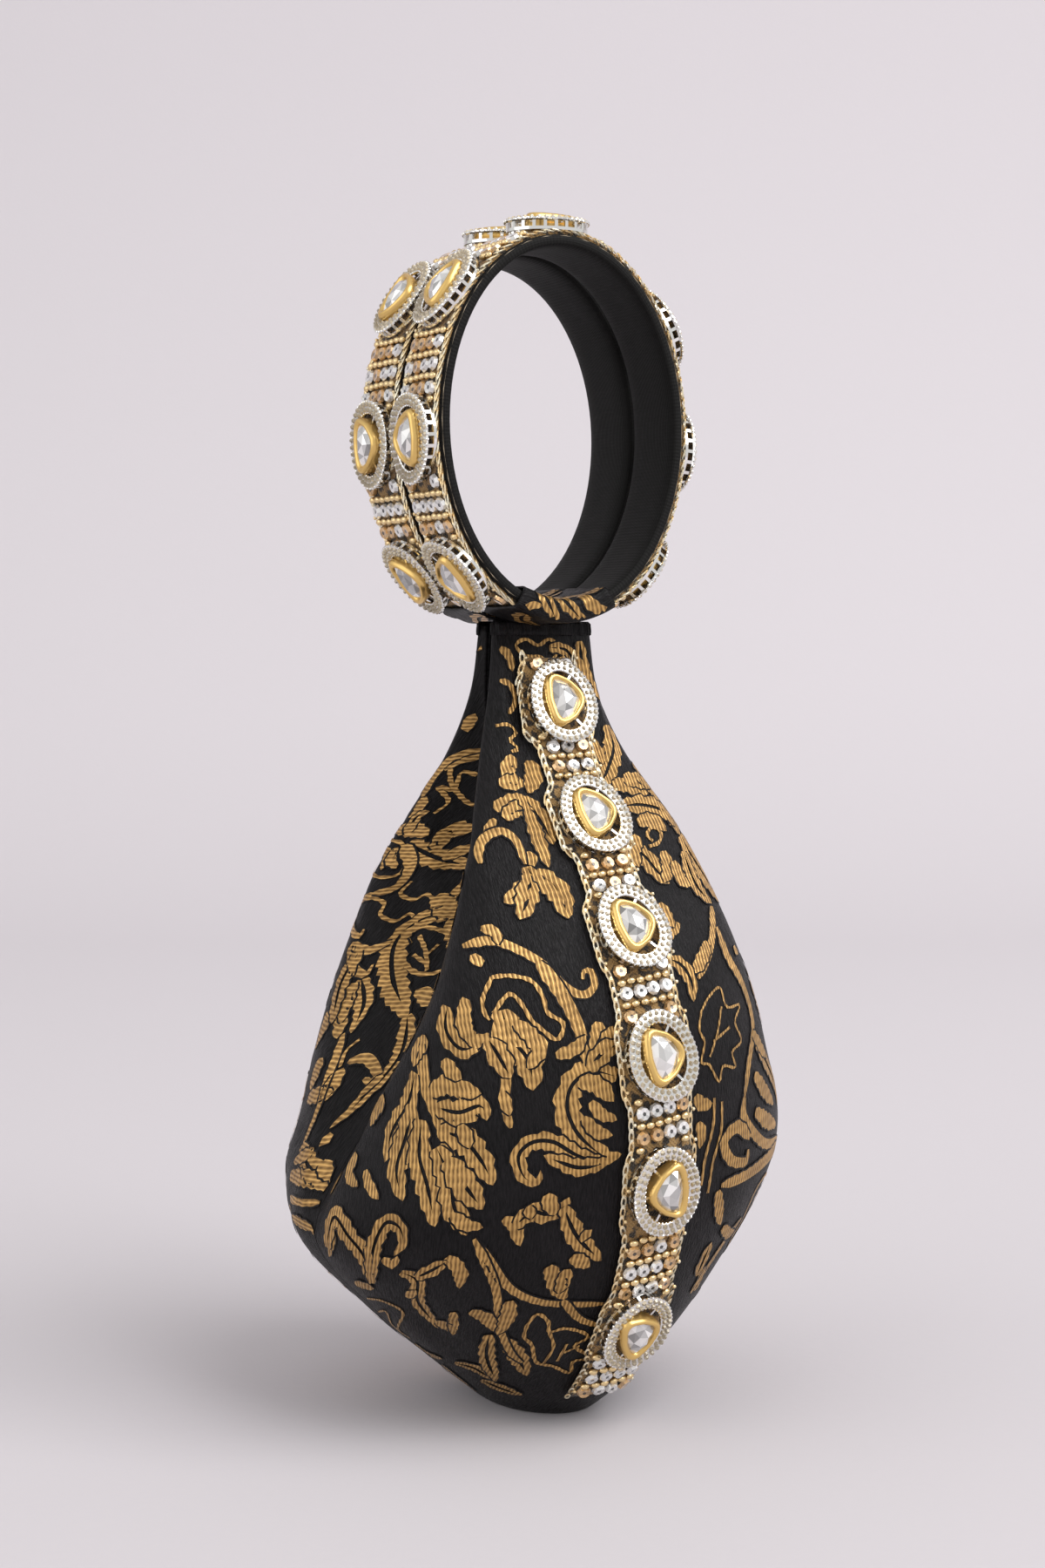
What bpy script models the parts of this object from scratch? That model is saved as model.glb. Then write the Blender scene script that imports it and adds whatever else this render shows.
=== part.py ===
# A brocade pouch bag that hangs from two oval bangles.
# Sizes are in millimetres; add_object() scales each finished mesh to metres.
# The front faces -Y, up is +Z and the bag stands on its small flat bottom.
import math

import bmesh
import bpy
from mathutils import Matrix, Vector

# Whole bag
HEM_Z = 180.0            # height of the top edge of both panels
MOUTH_Z = 150.0          # where the side slits between the panels end
MID_Y = 2.9              # the plane between front and back, behind the origin
DROOP = 0.14             # how far the bag leans up to its right, per mm of width
CLOTH_T = 1.6            # quilted brocade with its interlining
LINING_T = 0.8
LINING_CLEARANCE = 2.2
SEAM_GAP = 0.3
SLIT_HALF = 1.4          # half the slit between the panels above the mouth
SLIT_EASE = 10.0         # the slit opens from this far below the mouth to this far above
LINING_BELOW_MOUTH = 4.0

# Stations of the pouch: height, front bulge, half width at the fold,
# setback of the fold, half width at the bottom of the side valley
STATIONS = (
    (180.0, 4.2, 12.8, 3.2, 12.2),
    (165.0, 7.8, 14.6, 4.0, 12.6),
    (150.0, 14.4, 19.2, 8.0, 11.5),
    (130.0, 27.6, 28.4, 18.6, 12.6),
    (104.0, 44.0, 38.2, 22.4, 22.0),
    (78.0, 51.6, 49.6, 13.0, 40.5),
    (52.0, 50.2, 57.0, 5.0, 57.0),
    (28.0, 41.5, 41.0, 1.4, 41.0),
    (9.0, 28.6, 22.5, 0.6, 22.5),
    (0.0, 18.0, 12.5, 0.4, 12.5),
)
BULGE, FOLD_HALF, FOLD_SETBACK, VALLEY_HALF = 1, 2, 3, 4    # the columns of STATIONS
PANEL_ROWS = 18
LINING_ROWS = 12
ARCH_COLUMNS = 12
GUSSET_COLUMNS = 4
ROW_BUNCHING = 0.12      # how much closer the rows lie near the bottom

# Bangles
BANGLE_INNER_W = 58.0
BANGLE_INNER_H = 79.0
BANGLE_X = -2.6          # the bangles stand a little left of the pouch's middle
BAND_W = 16.8
BAND_LINING_T = 0.8
CORE_T = 1.6
COVER_T = 0.8
LAYER_GAP = 0.25
SLEEVE_GAP = 0.25        # between the band and the sleeve, and between the sleeves
SLEEVE_T = 0.6
SLEEVE_HALF = 12.5       # half its length along X
SLEEVE_CORNER = 0.6      # the sleeve's outer corners are cut off this far
SLEEVE_CREASE = 0.1      # and its inner corners this far
SLEEVE_STATIONS = 8
HEM_TO_SLEEVE = 0.5
BAND_STATIONS = 40
BANGLE_MEDALLION_DEG = (-46.0, -5.0, 33.0, 90.0, 138.0, 185.0, 229.0)

# Trim down the middle of the front
TRIM_W = 17.8
TRIM_T = 0.8
TRIM_TOP_Z = 172.5
TRIM_END_Z = 8.0
TRIM_MEDALLION_Z = (161.5, 136.0, 112.6, 86.6, 58.7, 26.5)

# Medallions
FRAME_L = 20.0
FRAME_W = 17.2
FRAME_RIM_W = 3.3
FRAME_H = 2.8
FRAME_FLOOR = 0.6
COLLET_CLEARANCE = 0.6   # between the collet and the surround's hole
COLLET_H = 3.4
COLLET_WALL = 0.8
COLLET_FLOOR = 0.5
CRYSTAL_RISE = 0.9
SEAT_GAP = 0.25
EGG = 0.07               # how much wider one end of each outline is
TRI = 0.07               # how three-cornered the collet is
TABLE_SHARE = 0.45       # the stone's flat top, as a share of its outline
FRAME_SEGMENTS = 14      # corners of the surround's outline
COLLET_SEGMENTS = 12     # corners of the collet's outline

# Bead rows
BEAD_ROW_W = 15.0
BEAD_ROW_L = 2.0
BEAD_ROW_H = 1.5
BEAD_ROW_SINK = 0.4
BEAD_ROW_PITCH = 3.0
BEAD_ROW_MARGIN = 0.6

COLLET_L = FRAME_L - 2 * FRAME_RIM_W - 2 * COLLET_CLEARANCE
COLLET_W = FRAME_W - 2 * FRAME_RIM_W - 2 * COLLET_CLEARANCE
BAND_TOTAL_T = BAND_LINING_T + CORE_T + COVER_T + 2 * LAYER_GAP
SLEEVE_W = BAND_W + 2 * SLEEVE_GAP + 2 * SLEEVE_T
BANGLE_Y = SLEEVE_W / 2 + SLEEVE_GAP
RING_BOTTOM_Z = HEM_Z + HEM_TO_SLEEVE + SLEEVE_T + SLEEVE_GAP
RING_Z = RING_BOTTOM_Z + BAND_TOTAL_T + BANGLE_INNER_H / 2


# Materials
def material(name, colour, roughness, metallic):
    made = bpy.data.materials.new(name)
    made.use_nodes = True
    shader = made.node_tree.nodes["Principled BSDF"]
    shader.inputs["Base Color"].default_value = (*colour, 1.0)
    shader.inputs["Roughness"].default_value = roughness
    shader.inputs["Metallic"].default_value = metallic
    made.diffuse_color = (*colour, 1.0)
    return made


LOOKS = {
    "brocade": ((0.060, 0.046, 0.030), 0.55, 0.0),
    "lining": ((0.020, 0.020, 0.024), 0.70, 0.0),
    "lace": ((0.075, 0.062, 0.042), 0.60, 0.0),
    "beads": ((0.560, 0.400, 0.210), 0.35, 1.0),
    "silver": ((0.800, 0.790, 0.760), 0.30, 1.0),
    "gold": ((0.780, 0.520, 0.180), 0.25, 1.0),
    "crystal": ((0.820, 0.830, 0.840), 0.08, 0.0),
    "satin": ((0.014, 0.013, 0.014), 0.60, 0.0),
    "core": ((0.500, 0.430, 0.330), 0.50, 0.0),
}


def add_object(name, mesh_builder, look):
    """Turn a bmesh in millimetres into an object of its own in metres."""
    bmesh.ops.recalc_face_normals(mesh_builder, faces=mesh_builder.faces)
    bmesh.ops.transform(mesh_builder, matrix=Matrix.Scale(0.001, 4), verts=mesh_builder.verts)
    mesh = bpy.data.meshes.new(name)
    mesh_builder.to_mesh(mesh)
    mesh_builder.free()
    colour, roughness, metallic = LOOKS[look]
    mesh.materials.append(material(name + "_" + look, colour, roughness, metallic))
    made = bpy.data.objects.new(name, mesh)
    bpy.context.scene.collection.objects.link(made)
    return made


def join_rows(made, builder):
    """Sew rows of beads on their carrier: a union with the bars in builder."""
    rows = add_object(made.name + "_rows", builder, "beads")
    rows.hide_render = True
    rows.display_type = "WIRE"
    union = made.modifiers.new("bead rows", "BOOLEAN")
    union.operation = "UNION"
    union.solver = "EXACT"
    union.object = rows


def hang_on(child, parent):
    """Parent a piece to its bangle's joint empty and leave it where it is."""
    child.parent = parent
    child.matrix_parent_inverse = parent.matrix_world.inverted()


# The pouch's surface
def station(z, column):
    """One column of STATIONS at a height, through a smooth curve."""
    rows = sorted(STATIONS)
    heights = [row[0] for row in rows]
    z = min(max(z, heights[0]), heights[-1])
    low = max(i for i in range(len(rows) - 1) if heights[i] <= z)

    def slope(i):
        first = max(i - 1, 0)
        last = min(i + 1, len(rows) - 1)
        return (rows[last][column] - rows[first][column]) / (heights[last] - heights[first])

    span = heights[low + 1] - heights[low]
    u = (z - heights[low]) / span
    start = rows[low][column]
    end = rows[low + 1][column]
    return (
        (2 * u**3 - 3 * u**2 + 1) * start
        + (u**3 - 2 * u**2 + u) * span * slope(low)
        + (3 * u**2 - 2 * u**3) * end
        + (u**3 - u**2) * span * slope(low + 1)
    )


def lean(point):
    """The slack pouch hangs higher on its right than on its left."""
    share = max(0.0, min(point.z / HEM_Z, 1.0))
    amount = DROOP * math.sin(math.pi * share**0.75) ** 1.5
    return Vector((point.x, point.y, point.z + amount * point.x))


def seam_setback(z):
    """Half the gap between the panels: a slit above the mouth, a seam below."""
    rise = max(0.0, min((z - MOUTH_Z + SLIT_EASE) / (2 * SLIT_EASE), 1.0))
    return SEAM_GAP / 2 + (SLIT_HALF - SEAM_GAP / 2) * rise * rise * (3 - 2 * rise)


def pouch_point(z, s, side, inset=0.0):
    """A point of the pouch at height z.

    s runs from -2 to 2: the arch of the panel between -1 and 1, then the
    gusset that turns in to the side seam. side is -1 in front and 1 behind.
    """
    steep = {}
    for column in (BULGE, FOLD_HALF, VALLEY_HALF):
        slope = (station(z + 1.0, column) - station(z - 1.0, column)) / 2.0
        steep[column] = math.sqrt(1.0 + slope * slope)
    bulge = station(z, BULGE) - inset * steep[BULGE]
    half = station(z, FOLD_HALF) - inset * steep[FOLD_HALF]
    fold = max(station(z, FOLD_SETBACK) - inset * 0.5, seam_setback(z) + 0.05)
    turn_in = 1.5 * (station(z, FOLD_HALF) - station(z, VALLEY_HALF)) / station(z, FOLD_SETBACK)
    oblique = 2 * math.sqrt(1.0 + turn_in * turn_in) - 1
    valley = min(station(z, VALLEY_HALF) - inset * steep[VALLEY_HALF] * oblique, half)
    if abs(s) <= 1.0:
        angle = s * math.pi / 2
        x = half * math.sin(angle)
        y = fold + (bulge - fold) * math.cos(angle)
    else:
        u = abs(s) - 1.0
        soft = u * u * (3 - 2 * u)
        x = math.copysign(half + (valley - half) * soft, s)
        y = fold + (seam_setback(z) - fold) * u
    return lean(Vector((x, side * y, z))) + Vector((0.0, MID_Y, 0.0))


def pouch_frame(z, x):
    """Position, across, down and outward directions on the front at (x, z)."""
    def at(height, aside):
        s = 2 / math.pi * math.asin(max(-1.0, min(1.0, aside / station(height, FOLD_HALF))))
        return pouch_point(height, s, -1)

    point = at(z, x)
    across = (at(z, x + 0.5) - at(z, x - 0.5)).normalized()
    down = (at(z - 0.5, x) - at(z + 0.5, x)).normalized()
    outward = across.cross(-down).normalized()
    return point, across, down, outward


def rows_of_heights(top, bottom, count):
    """Heights from top to bottom, closer together near the bottom."""
    made = []
    for i in range(count + 1):
        u = i / count
        made.append(top + (bottom - top) * (u + ROW_BUNCHING * math.sin(math.pi * u)))
    return made


# Grids
def grid(mesh_builder, rows, cyclic=False):
    """Faces between rows of points; cyclic closes each row on itself."""
    rings = [[mesh_builder.verts.new(p) for p in row] for row in rows]
    for upper, lower in zip(rings, rings[1:]):
        count = len(upper)
        for j in range(count if cyclic else count - 1):
            k = (j + 1) % count
            mesh_builder.faces.new((upper[j], lower[j], lower[k], upper[k]))
    return rings


def thicken(made, thickness, outward=False):
    """Give an open sheet its thickness, away from or towards the outside."""
    solid = made.modifiers.new("thickness", "SOLIDIFY")
    solid.thickness = thickness / 1000.0
    solid.offset = 1.0 if outward else -1.0
    solid.use_even_offset = True
    return made


def sheet_normals_outward(made, inside):
    """Turn an open sheet's faces away from a point inside the pouch."""
    mesh = made.data
    centre = Vector(inside) / 1000.0
    face = mesh.polygons[len(mesh.polygons) // 2]
    if (face.center - centre).dot(face.normal) < 0:
        mesh.flip_normals()


def columns():
    """The panel's s values from one side seam to the other."""
    arch = [-1 + 2 * j / ARCH_COLUMNS for j in range(ARCH_COLUMNS + 1)]
    turn = [1 + (j + 1) / GUSSET_COLUMNS for j in range(GUSSET_COLUMNS)]
    return [-s for s in reversed(turn)] + arch + turn


def panel(name, side):
    """One half of the pouch: strap, belly, side gussets and half the base."""
    builder = bmesh.new()
    heights = rows_of_heights(HEM_Z, 0.0, PANEL_ROWS)
    rows = [[pouch_point(z, s, side) for s in columns()] for z in heights]
    rings = grid(builder, rows)
    builder.faces.new(rings[-1])
    made = add_object(name, builder, "brocade")
    sheet_normals_outward(made, (0.0, MID_Y, 80.0))
    return thicken(made, CLOTH_T)


def pouch_lining():
    """The loose inner bag, open at the mouth."""
    builder = bmesh.new()
    inset = CLOTH_T + LINING_CLEARANCE
    floor = CLOTH_T + LINING_CLEARANCE / 2
    rows = []
    for z in rows_of_heights(MOUTH_Z - LINING_BELOW_MOUTH, floor, LINING_ROWS):
        front = [pouch_point(z, s, -1, inset) for s in columns()]
        back = [pouch_point(z, -s, 1, inset) for s in columns()]
        rows.append(front[:-1] + back[:-1])
    rings = grid(builder, rows, cyclic=True)
    builder.faces.new(rings[-1])
    made = add_object("lining", builder, "lining")
    sheet_normals_outward(made, (0.0, MID_Y, 80.0))
    return thicken(made, LINING_T)


# Medallions
def outline(length, width, count, corner=0.0):
    """An egg-shaped ring of points, three-cornered by the share corner."""
    points = []
    for i in range(count):
        angle = 2 * math.pi * i / count
        swell = 1 + corner * math.cos(3 * (angle - math.pi / 2))
        x = width / 2 * math.cos(angle) * (1 - EGG * math.sin(angle)) * swell
        y = length / 2 * math.sin(angle) * swell
        points.append((x, y))
    return points


def stack(builder, levels, place):
    """A turned solid: closed outlines at rising or falling heights, capped."""
    rows = [[place @ Vector((x, y, z)) for x, y in ring] for ring, z in levels]
    rings = grid(builder, rows, cyclic=True)
    builder.faces.new(rings[0])
    builder.faces.new(rings[-1])


def frame_solid(builder, place):
    """The silver surround: a flat dish with a broad rim."""
    rim = outline(FRAME_L, FRAME_W, FRAME_SEGMENTS)
    hole = outline(FRAME_L - 2 * FRAME_RIM_W, FRAME_W - 2 * FRAME_RIM_W, FRAME_SEGMENTS)
    stack(builder, ((rim, 0.0), (rim, FRAME_H), (hole, FRAME_H), (hole, FRAME_FLOOR)), place)


def collet_solid(builder, place):
    """The gold cup that holds the stone."""
    base = FRAME_FLOOR + SEAT_GAP
    top = base + COLLET_H
    rim = outline(COLLET_L, COLLET_W, COLLET_SEGMENTS, TRI)
    inner = outline(COLLET_L - 2 * COLLET_WALL, COLLET_W - 2 * COLLET_WALL, COLLET_SEGMENTS, TRI)
    levels = ((rim, base), (rim, top), (inner, top), (inner, base + COLLET_FLOOR))
    stack(builder, levels, place)


def crystal_solid(builder, place):
    """The domed stone, standing a little above its collet."""
    base = FRAME_FLOOR + 2 * SEAT_GAP + COLLET_FLOOR
    girdle = FRAME_FLOOR + SEAT_GAP + COLLET_H
    trim = 2 * (COLLET_WALL + SEAT_GAP)
    ring = outline(COLLET_L - trim, COLLET_W - trim, COLLET_SEGMENTS, TRI)
    table = [(TABLE_SHARE * x, TABLE_SHARE * y) for x, y in ring]
    stack(builder, ((ring, base), (ring, girdle), (table, girdle + CRYSTAL_RISE)), place)


def setting_solid(builder, place):
    """A collet with its stone closed in, for the bangles' jewels."""
    base = FRAME_FLOOR + SEAT_GAP
    top = base + COLLET_H
    rim = outline(COLLET_L, COLLET_W, COLLET_SEGMENTS, TRI)
    inner = outline(COLLET_L - 2 * COLLET_WALL, COLLET_W - 2 * COLLET_WALL, COLLET_SEGMENTS, TRI)
    table = [(TABLE_SHARE * x, TABLE_SHARE * y) for x, y in inner]
    low = top - CRYSTAL_RISE / 2
    levels = ((rim, base), (rim, top), (inner, top), (inner, low), (table, top + CRYSTAL_RISE))
    stack(builder, levels, place)


def seat(point, along, across, outward, lift):
    """The placing matrix of a medallion or a bead row lying on a surface."""
    turned = Matrix((across, along, outward)).transposed().to_4x4()
    return Matrix.Translation(point + outward * lift) @ turned


def bar_solid(builder, place):
    """One row of beads as a plain bar, sunk a little into its carrier."""
    tall = BEAD_ROW_H + BEAD_ROW_SINK
    size = Matrix.Diagonal((BEAD_ROW_W, BEAD_ROW_L, tall, 1.0))
    up = Matrix.Translation((0.0, 0.0, tall / 2 - BEAD_ROW_SINK - SEAT_GAP))
    bmesh.ops.create_cube(builder, size=1.0, matrix=place @ up @ size)


LOOSE_STONE = (
    ("frame", frame_solid, "silver"),
    ("collet", collet_solid, "gold"),
    ("crystal", crystal_solid, "crystal"),
)
CLOSED_STONE = (
    ("frame", frame_solid, "silver"),
    ("setting", setting_solid, "gold"),
)


def jewels(prefix, places, parts, parent=None):
    """The pieces of one medallion at each place."""
    for number, place in enumerate(places, 1):
        for part, build_solid, look in parts:
            builder = bmesh.new()
            build_solid(builder, place)
            made = add_object(f"{prefix}_{part}_{number}", builder, look)
            if parent is not None:
                hang_on(made, parent)


# The trim
def trim_height_above(point, outward, z, half_length):
    """How far the surface near z rises above the tangent plane at point."""
    highest = 0.0
    for share in (-1.0, -0.6, -0.3, 0.3, 0.6, 1.0):
        for aside in (-0.45, 0.0, 0.45):
            near = pouch_frame(z + share * half_length, aside * FRAME_W)[0]
            highest = max(highest, (near - point).dot(outward))
    return highest


def trim_place(z, half_length):
    point, across, down, outward = pouch_frame(z, 0.0)
    over = trim_height_above(point, outward, z, half_length)
    lift = over + LAYER_GAP + TRIM_T + SEAT_GAP
    square = outward.cross(across).normalized()
    return seat(point, square, across, outward, lift)


def arc_between(z_high, z_low):
    """Length along the front's middle line between two heights."""
    steps = 12
    points = [pouch_frame(z_high + (z_low - z_high) * i / steps, 0.0)[0] for i in range(steps + 1)]
    return sum((b - a).length for a, b in zip(points, points[1:]))


def row_shares(length):
    """Where rows of beads lie between two medallions, as shares of the way."""
    free = length - FRAME_L - 2 * BEAD_ROW_MARGIN
    count = int((free - BEAD_ROW_L) // BEAD_ROW_PITCH) + 1 if free >= BEAD_ROW_L else 0
    first = -(count - 1) * BEAD_ROW_PITCH / 2
    return [0.5 + (first + k * BEAD_ROW_PITCH) / length for k in range(count)]


def trim_bead_rows():
    """The bars between the medallions of the trim."""
    builder = bmesh.new()
    for upper, lower in zip(TRIM_MEDALLION_Z, TRIM_MEDALLION_Z[1:]):
        for share in row_shares(arc_between(upper, lower)):
            z = upper + (lower - upper) * share
            bar_solid(builder, trim_place(z, BEAD_ROW_L / 2))
    return builder


def trim_ribbon():
    """The net ribbon, wrapped on the front panel from the neck to the base."""
    builder = bmesh.new()
    heights = [z for z in rows_of_heights(HEM_Z, 0.0, PANEL_ROWS) if TRIM_END_Z < z < TRIM_TOP_Z]
    rows = []
    for z in [TRIM_TOP_Z] + heights + [TRIM_END_Z]:
        row = []
        for share in (-1.0, -0.5, 0.0, 0.5, 1.0):
            point, _across, _down, outward = pouch_frame(z, share * TRIM_W / 2)
            row.append(point + outward * LAYER_GAP)
        rows.append(row)
    grid(builder, rows)
    made = add_object("trim_ribbon", builder, "lace")
    sheet_normals_outward(made, (0.0, MID_Y, 80.0))
    thicken(made, TRIM_T, outward=True)
    join_rows(made, trim_bead_rows())


# Bangles
def oval(angle, offset):
    """A point of the bangle's oval and its outward direction, in XZ."""
    half_w = BANGLE_INNER_W / 2
    half_h = BANGLE_INNER_H / 2
    x = half_w * math.cos(angle)
    z = half_h * math.sin(angle)
    normal = Vector((half_h * math.cos(angle), 0.0, half_w * math.sin(angle))).normalized()
    return Vector((x, 0.0, z)) + normal * offset, normal


def hoop(name, side, inner, outer, look):
    """A closed oval band between two offsets of the bangle's inner oval."""
    builder = bmesh.new()
    y = MID_Y + side * BANGLE_Y
    corners = ((inner, -1), (outer, -1), (outer, 1), (inner, 1))
    rows = []
    for i in range(BAND_STATIONS + 1):
        angle = 2 * math.pi * i / BAND_STATIONS
        row = []
        for offset, edge in corners:
            point = oval(angle, offset)[0]
            row.append(point + Vector((BANGLE_X, y + edge * BAND_W / 2, RING_Z)))
        rows.append(row)
    grid(builder, rows, cyclic=True)
    bmesh.ops.remove_doubles(builder, verts=builder.verts, dist=0.001)
    return add_object(name, builder, look)


def sleeve(name, side):
    """The loop of brocade sewn round the bottom of the bangle."""
    builder = bmesh.new()
    y = MID_Y + side * BANGLE_Y
    reach = BANGLE_INNER_W / 2 + BAND_TOTAL_T
    spread = math.asin(SLEEVE_HALF / reach)
    inner_low = -SLEEVE_GAP
    inner_high = BAND_TOTAL_T + SLEEVE_GAP
    half_in = BAND_W / 2 + SLEEVE_GAP
    half_out = half_in + SLEEVE_T
    outer_loop = (
        (inner_low - SLEEVE_T, -half_out + SLEEVE_CORNER),
        (inner_low - SLEEVE_CREASE, -half_out),
        (inner_high + SLEEVE_CREASE, -half_out),
        (inner_high + SLEEVE_T, -half_out + SLEEVE_CORNER),
        (inner_high + SLEEVE_T, half_out - SLEEVE_CORNER),
        (inner_high + SLEEVE_CREASE, half_out),
        (inner_low - SLEEVE_CREASE, half_out),
        (inner_low - SLEEVE_T, half_out - SLEEVE_CORNER),
    )
    inner_loop = (
        (inner_low, -half_in + SLEEVE_CREASE),
        (inner_low + SLEEVE_CREASE, -half_in),
        (inner_high - SLEEVE_CREASE, -half_in),
        (inner_high, -half_in + SLEEVE_CREASE),
        (inner_high, half_in - SLEEVE_CREASE),
        (inner_high - SLEEVE_CREASE, half_in),
        (inner_low + SLEEVE_CREASE, half_in),
        (inner_low, half_in - SLEEVE_CREASE),
    )
    tubes = []
    for loop in (outer_loop, inner_loop):
        rows = []
        for i in range(SLEEVE_STATIONS + 1):
            angle = -math.pi / 2 + spread * (2 * i / SLEEVE_STATIONS - 1)
            row = []
            for offset, aside in loop:
                point = oval(angle, offset)[0]
                row.append(point + Vector((BANGLE_X, y + aside, RING_Z)))
            rows.append(row)
        tubes.append(grid(builder, rows, cyclic=True))
    outer, inner = tubes
    for end in (0, -1):
        count = len(outer[end])
        for j in range(count):
            k = (j + 1) % count
            builder.faces.new((outer[end][j], outer[end][k], inner[end][k], inner[end][j]))
    return add_object(name, builder, "brocade")


def bangle_place(angle_deg, side, half_length):
    """Where a flat piece sits on the outside of the band."""
    angle = math.radians(angle_deg)
    point, normal = oval(angle, BAND_TOTAL_T)
    highest = 0.0
    for share in (-1.0, 1.0):
        near = oval(angle + share * half_length / BANGLE_INNER_H, BAND_TOTAL_T)[0]
        highest = max(highest, (near - point).dot(normal))
    across = Vector((0.0, 1.0, 0.0))
    along = normal.cross(across).normalized()
    point = point + Vector((BANGLE_X, MID_Y + side * BANGLE_Y, RING_Z))
    return seat(point, along, across, normal, highest + SEAT_GAP)


def bangle_arc(first_deg, last_deg):
    """Length along the band's outside between two angles."""
    steps = 16
    span = math.radians(last_deg - first_deg)
    start = math.radians(first_deg)
    points = [oval(start + span * i / steps, BAND_TOTAL_T)[0] for i in range(steps + 1)]
    return sum((b - a).length for a, b in zip(points, points[1:]))


def bangle(prefix, side):
    """One bangle on its joint: core, inner padding, lace, jewels and sleeve."""
    joint = bpy.data.objects.new(prefix + "_joint", None)
    joint.location = Vector((0.0, MID_Y + side * station(HEM_Z, BULGE), HEM_Z)) / 1000.0
    bpy.context.scene.collection.objects.link(joint)
    bpy.context.view_layer.update()
    first = BAND_LINING_T + LAYER_GAP
    second = first + CORE_T + LAYER_GAP
    cover = hoop(prefix + "_cover", side, second, BAND_TOTAL_T, "lace")
    pieces = [
        hoop(prefix + "_lining", side, 0.0, BAND_LINING_T, "satin"),
        hoop(prefix + "_core", side, first, first + CORE_T, "core"),
        cover,
        sleeve(prefix + "_sleeve", side),
    ]
    builder = bmesh.new()
    for first_deg, last_deg in zip(BANGLE_MEDALLION_DEG, BANGLE_MEDALLION_DEG[1:]):
        for share in row_shares(bangle_arc(first_deg, last_deg)):
            angle = first_deg + (last_deg - first_deg) * share
            bar_solid(builder, bangle_place(angle, side, BEAD_ROW_L / 2))
    join_rows(cover, builder)
    for piece in pieces:
        hang_on(piece, joint)
    places = [bangle_place(angle, side, FRAME_L / 2) for angle in BANGLE_MEDALLION_DEG]
    jewels(prefix, places, CLOSED_STONE, joint)


def main():
    for old in list(bpy.data.objects):
        bpy.data.objects.remove(old, do_unlink=True)
    panel("front_panel", -1)
    panel("back_panel", 1)
    pouch_lining()
    trim_ribbon()
    jewels("trim", [trim_place(z, FRAME_L / 2) for z in TRIM_MEDALLION_Z], LOOSE_STONE)
    bangle("front_bangle", -1)
    bangle("rear_bangle", 1)


main()
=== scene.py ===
import math

import bmesh
import bpy
import numpy as np
from mathutils import Matrix, Vector


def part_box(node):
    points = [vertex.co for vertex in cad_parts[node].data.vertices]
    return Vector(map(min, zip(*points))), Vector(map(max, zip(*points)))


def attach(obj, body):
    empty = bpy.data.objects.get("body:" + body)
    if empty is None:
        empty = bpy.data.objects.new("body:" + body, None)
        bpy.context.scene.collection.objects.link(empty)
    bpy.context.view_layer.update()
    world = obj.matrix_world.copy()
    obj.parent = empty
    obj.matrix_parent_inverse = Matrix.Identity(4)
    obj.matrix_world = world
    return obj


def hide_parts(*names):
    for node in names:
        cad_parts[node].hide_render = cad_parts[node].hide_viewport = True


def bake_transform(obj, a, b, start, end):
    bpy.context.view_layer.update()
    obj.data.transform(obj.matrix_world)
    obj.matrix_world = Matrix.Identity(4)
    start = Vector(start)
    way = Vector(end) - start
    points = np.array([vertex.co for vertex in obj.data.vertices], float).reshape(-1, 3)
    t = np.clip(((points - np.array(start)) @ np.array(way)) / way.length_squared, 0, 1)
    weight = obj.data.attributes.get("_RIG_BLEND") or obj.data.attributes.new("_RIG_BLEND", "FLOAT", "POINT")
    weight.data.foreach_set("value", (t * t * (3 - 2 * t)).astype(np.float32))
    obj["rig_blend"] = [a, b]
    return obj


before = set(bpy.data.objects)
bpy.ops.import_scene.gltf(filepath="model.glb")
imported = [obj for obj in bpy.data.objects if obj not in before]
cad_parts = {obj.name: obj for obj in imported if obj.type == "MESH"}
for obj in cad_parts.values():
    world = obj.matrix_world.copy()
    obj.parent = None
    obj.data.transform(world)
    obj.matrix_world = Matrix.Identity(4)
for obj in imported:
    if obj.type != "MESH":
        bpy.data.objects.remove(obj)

bl_info = {
    "name": "Brocade pouch with bangle handles",
    "version": (1, 0, 0),
    "blender": (4, 5, 0),
    "location": "View3D > Sidebar > Pouch",
    "description": "Dresses the packed pouch bag in brocade, net, beads and jewels",
    "category": "Object",
}

MM = 0.001

# The pouch's stations, as in the CAD source: height, front bulge, half width at
# the fold, setback of the fold, half width at the bottom of the side valley (mm)
STATIONS = (
    (180.0, 4.2, 12.8, 3.2, 12.2),
    (165.0, 7.8, 14.6, 4.0, 12.6),
    (150.0, 14.4, 19.2, 8.0, 11.5),
    (130.0, 27.6, 28.4, 18.6, 12.6),
    (104.0, 44.0, 38.2, 22.4, 22.0),
    (78.0, 51.6, 49.6, 13.0, 40.5),
    (52.0, 50.2, 57.0, 5.0, 57.0),
    (28.0, 41.5, 41.0, 1.4, 41.0),
    (9.0, 28.6, 22.5, 0.6, 22.5),
    (0.0, 18.0, 12.5, 0.4, 12.5),
)
BULGE, FOLD_HALF, FOLD_SETBACK, VALLEY_HALF = 1, 2, 3, 4
TRIM_MEDALLIONS = (161.5, 136.0, 112.6, 86.6, 58.7, 26.5)
BANGLE_MEDALLIONS = (-46.0, -5.0, 33.0, 90.0, 138.0, 185.0, 229.0)


def woven(text):
    """Woven strokes from text: a kind, a width, and points by turns across and down."""
    made = []
    for word in text.split():
        if word.isalpha():
            made.append([word])
        else:
            made[-1].append(float(word))
    return [(kind, width, tuple(numbers)) for kind, width, *numbers in made]


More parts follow.
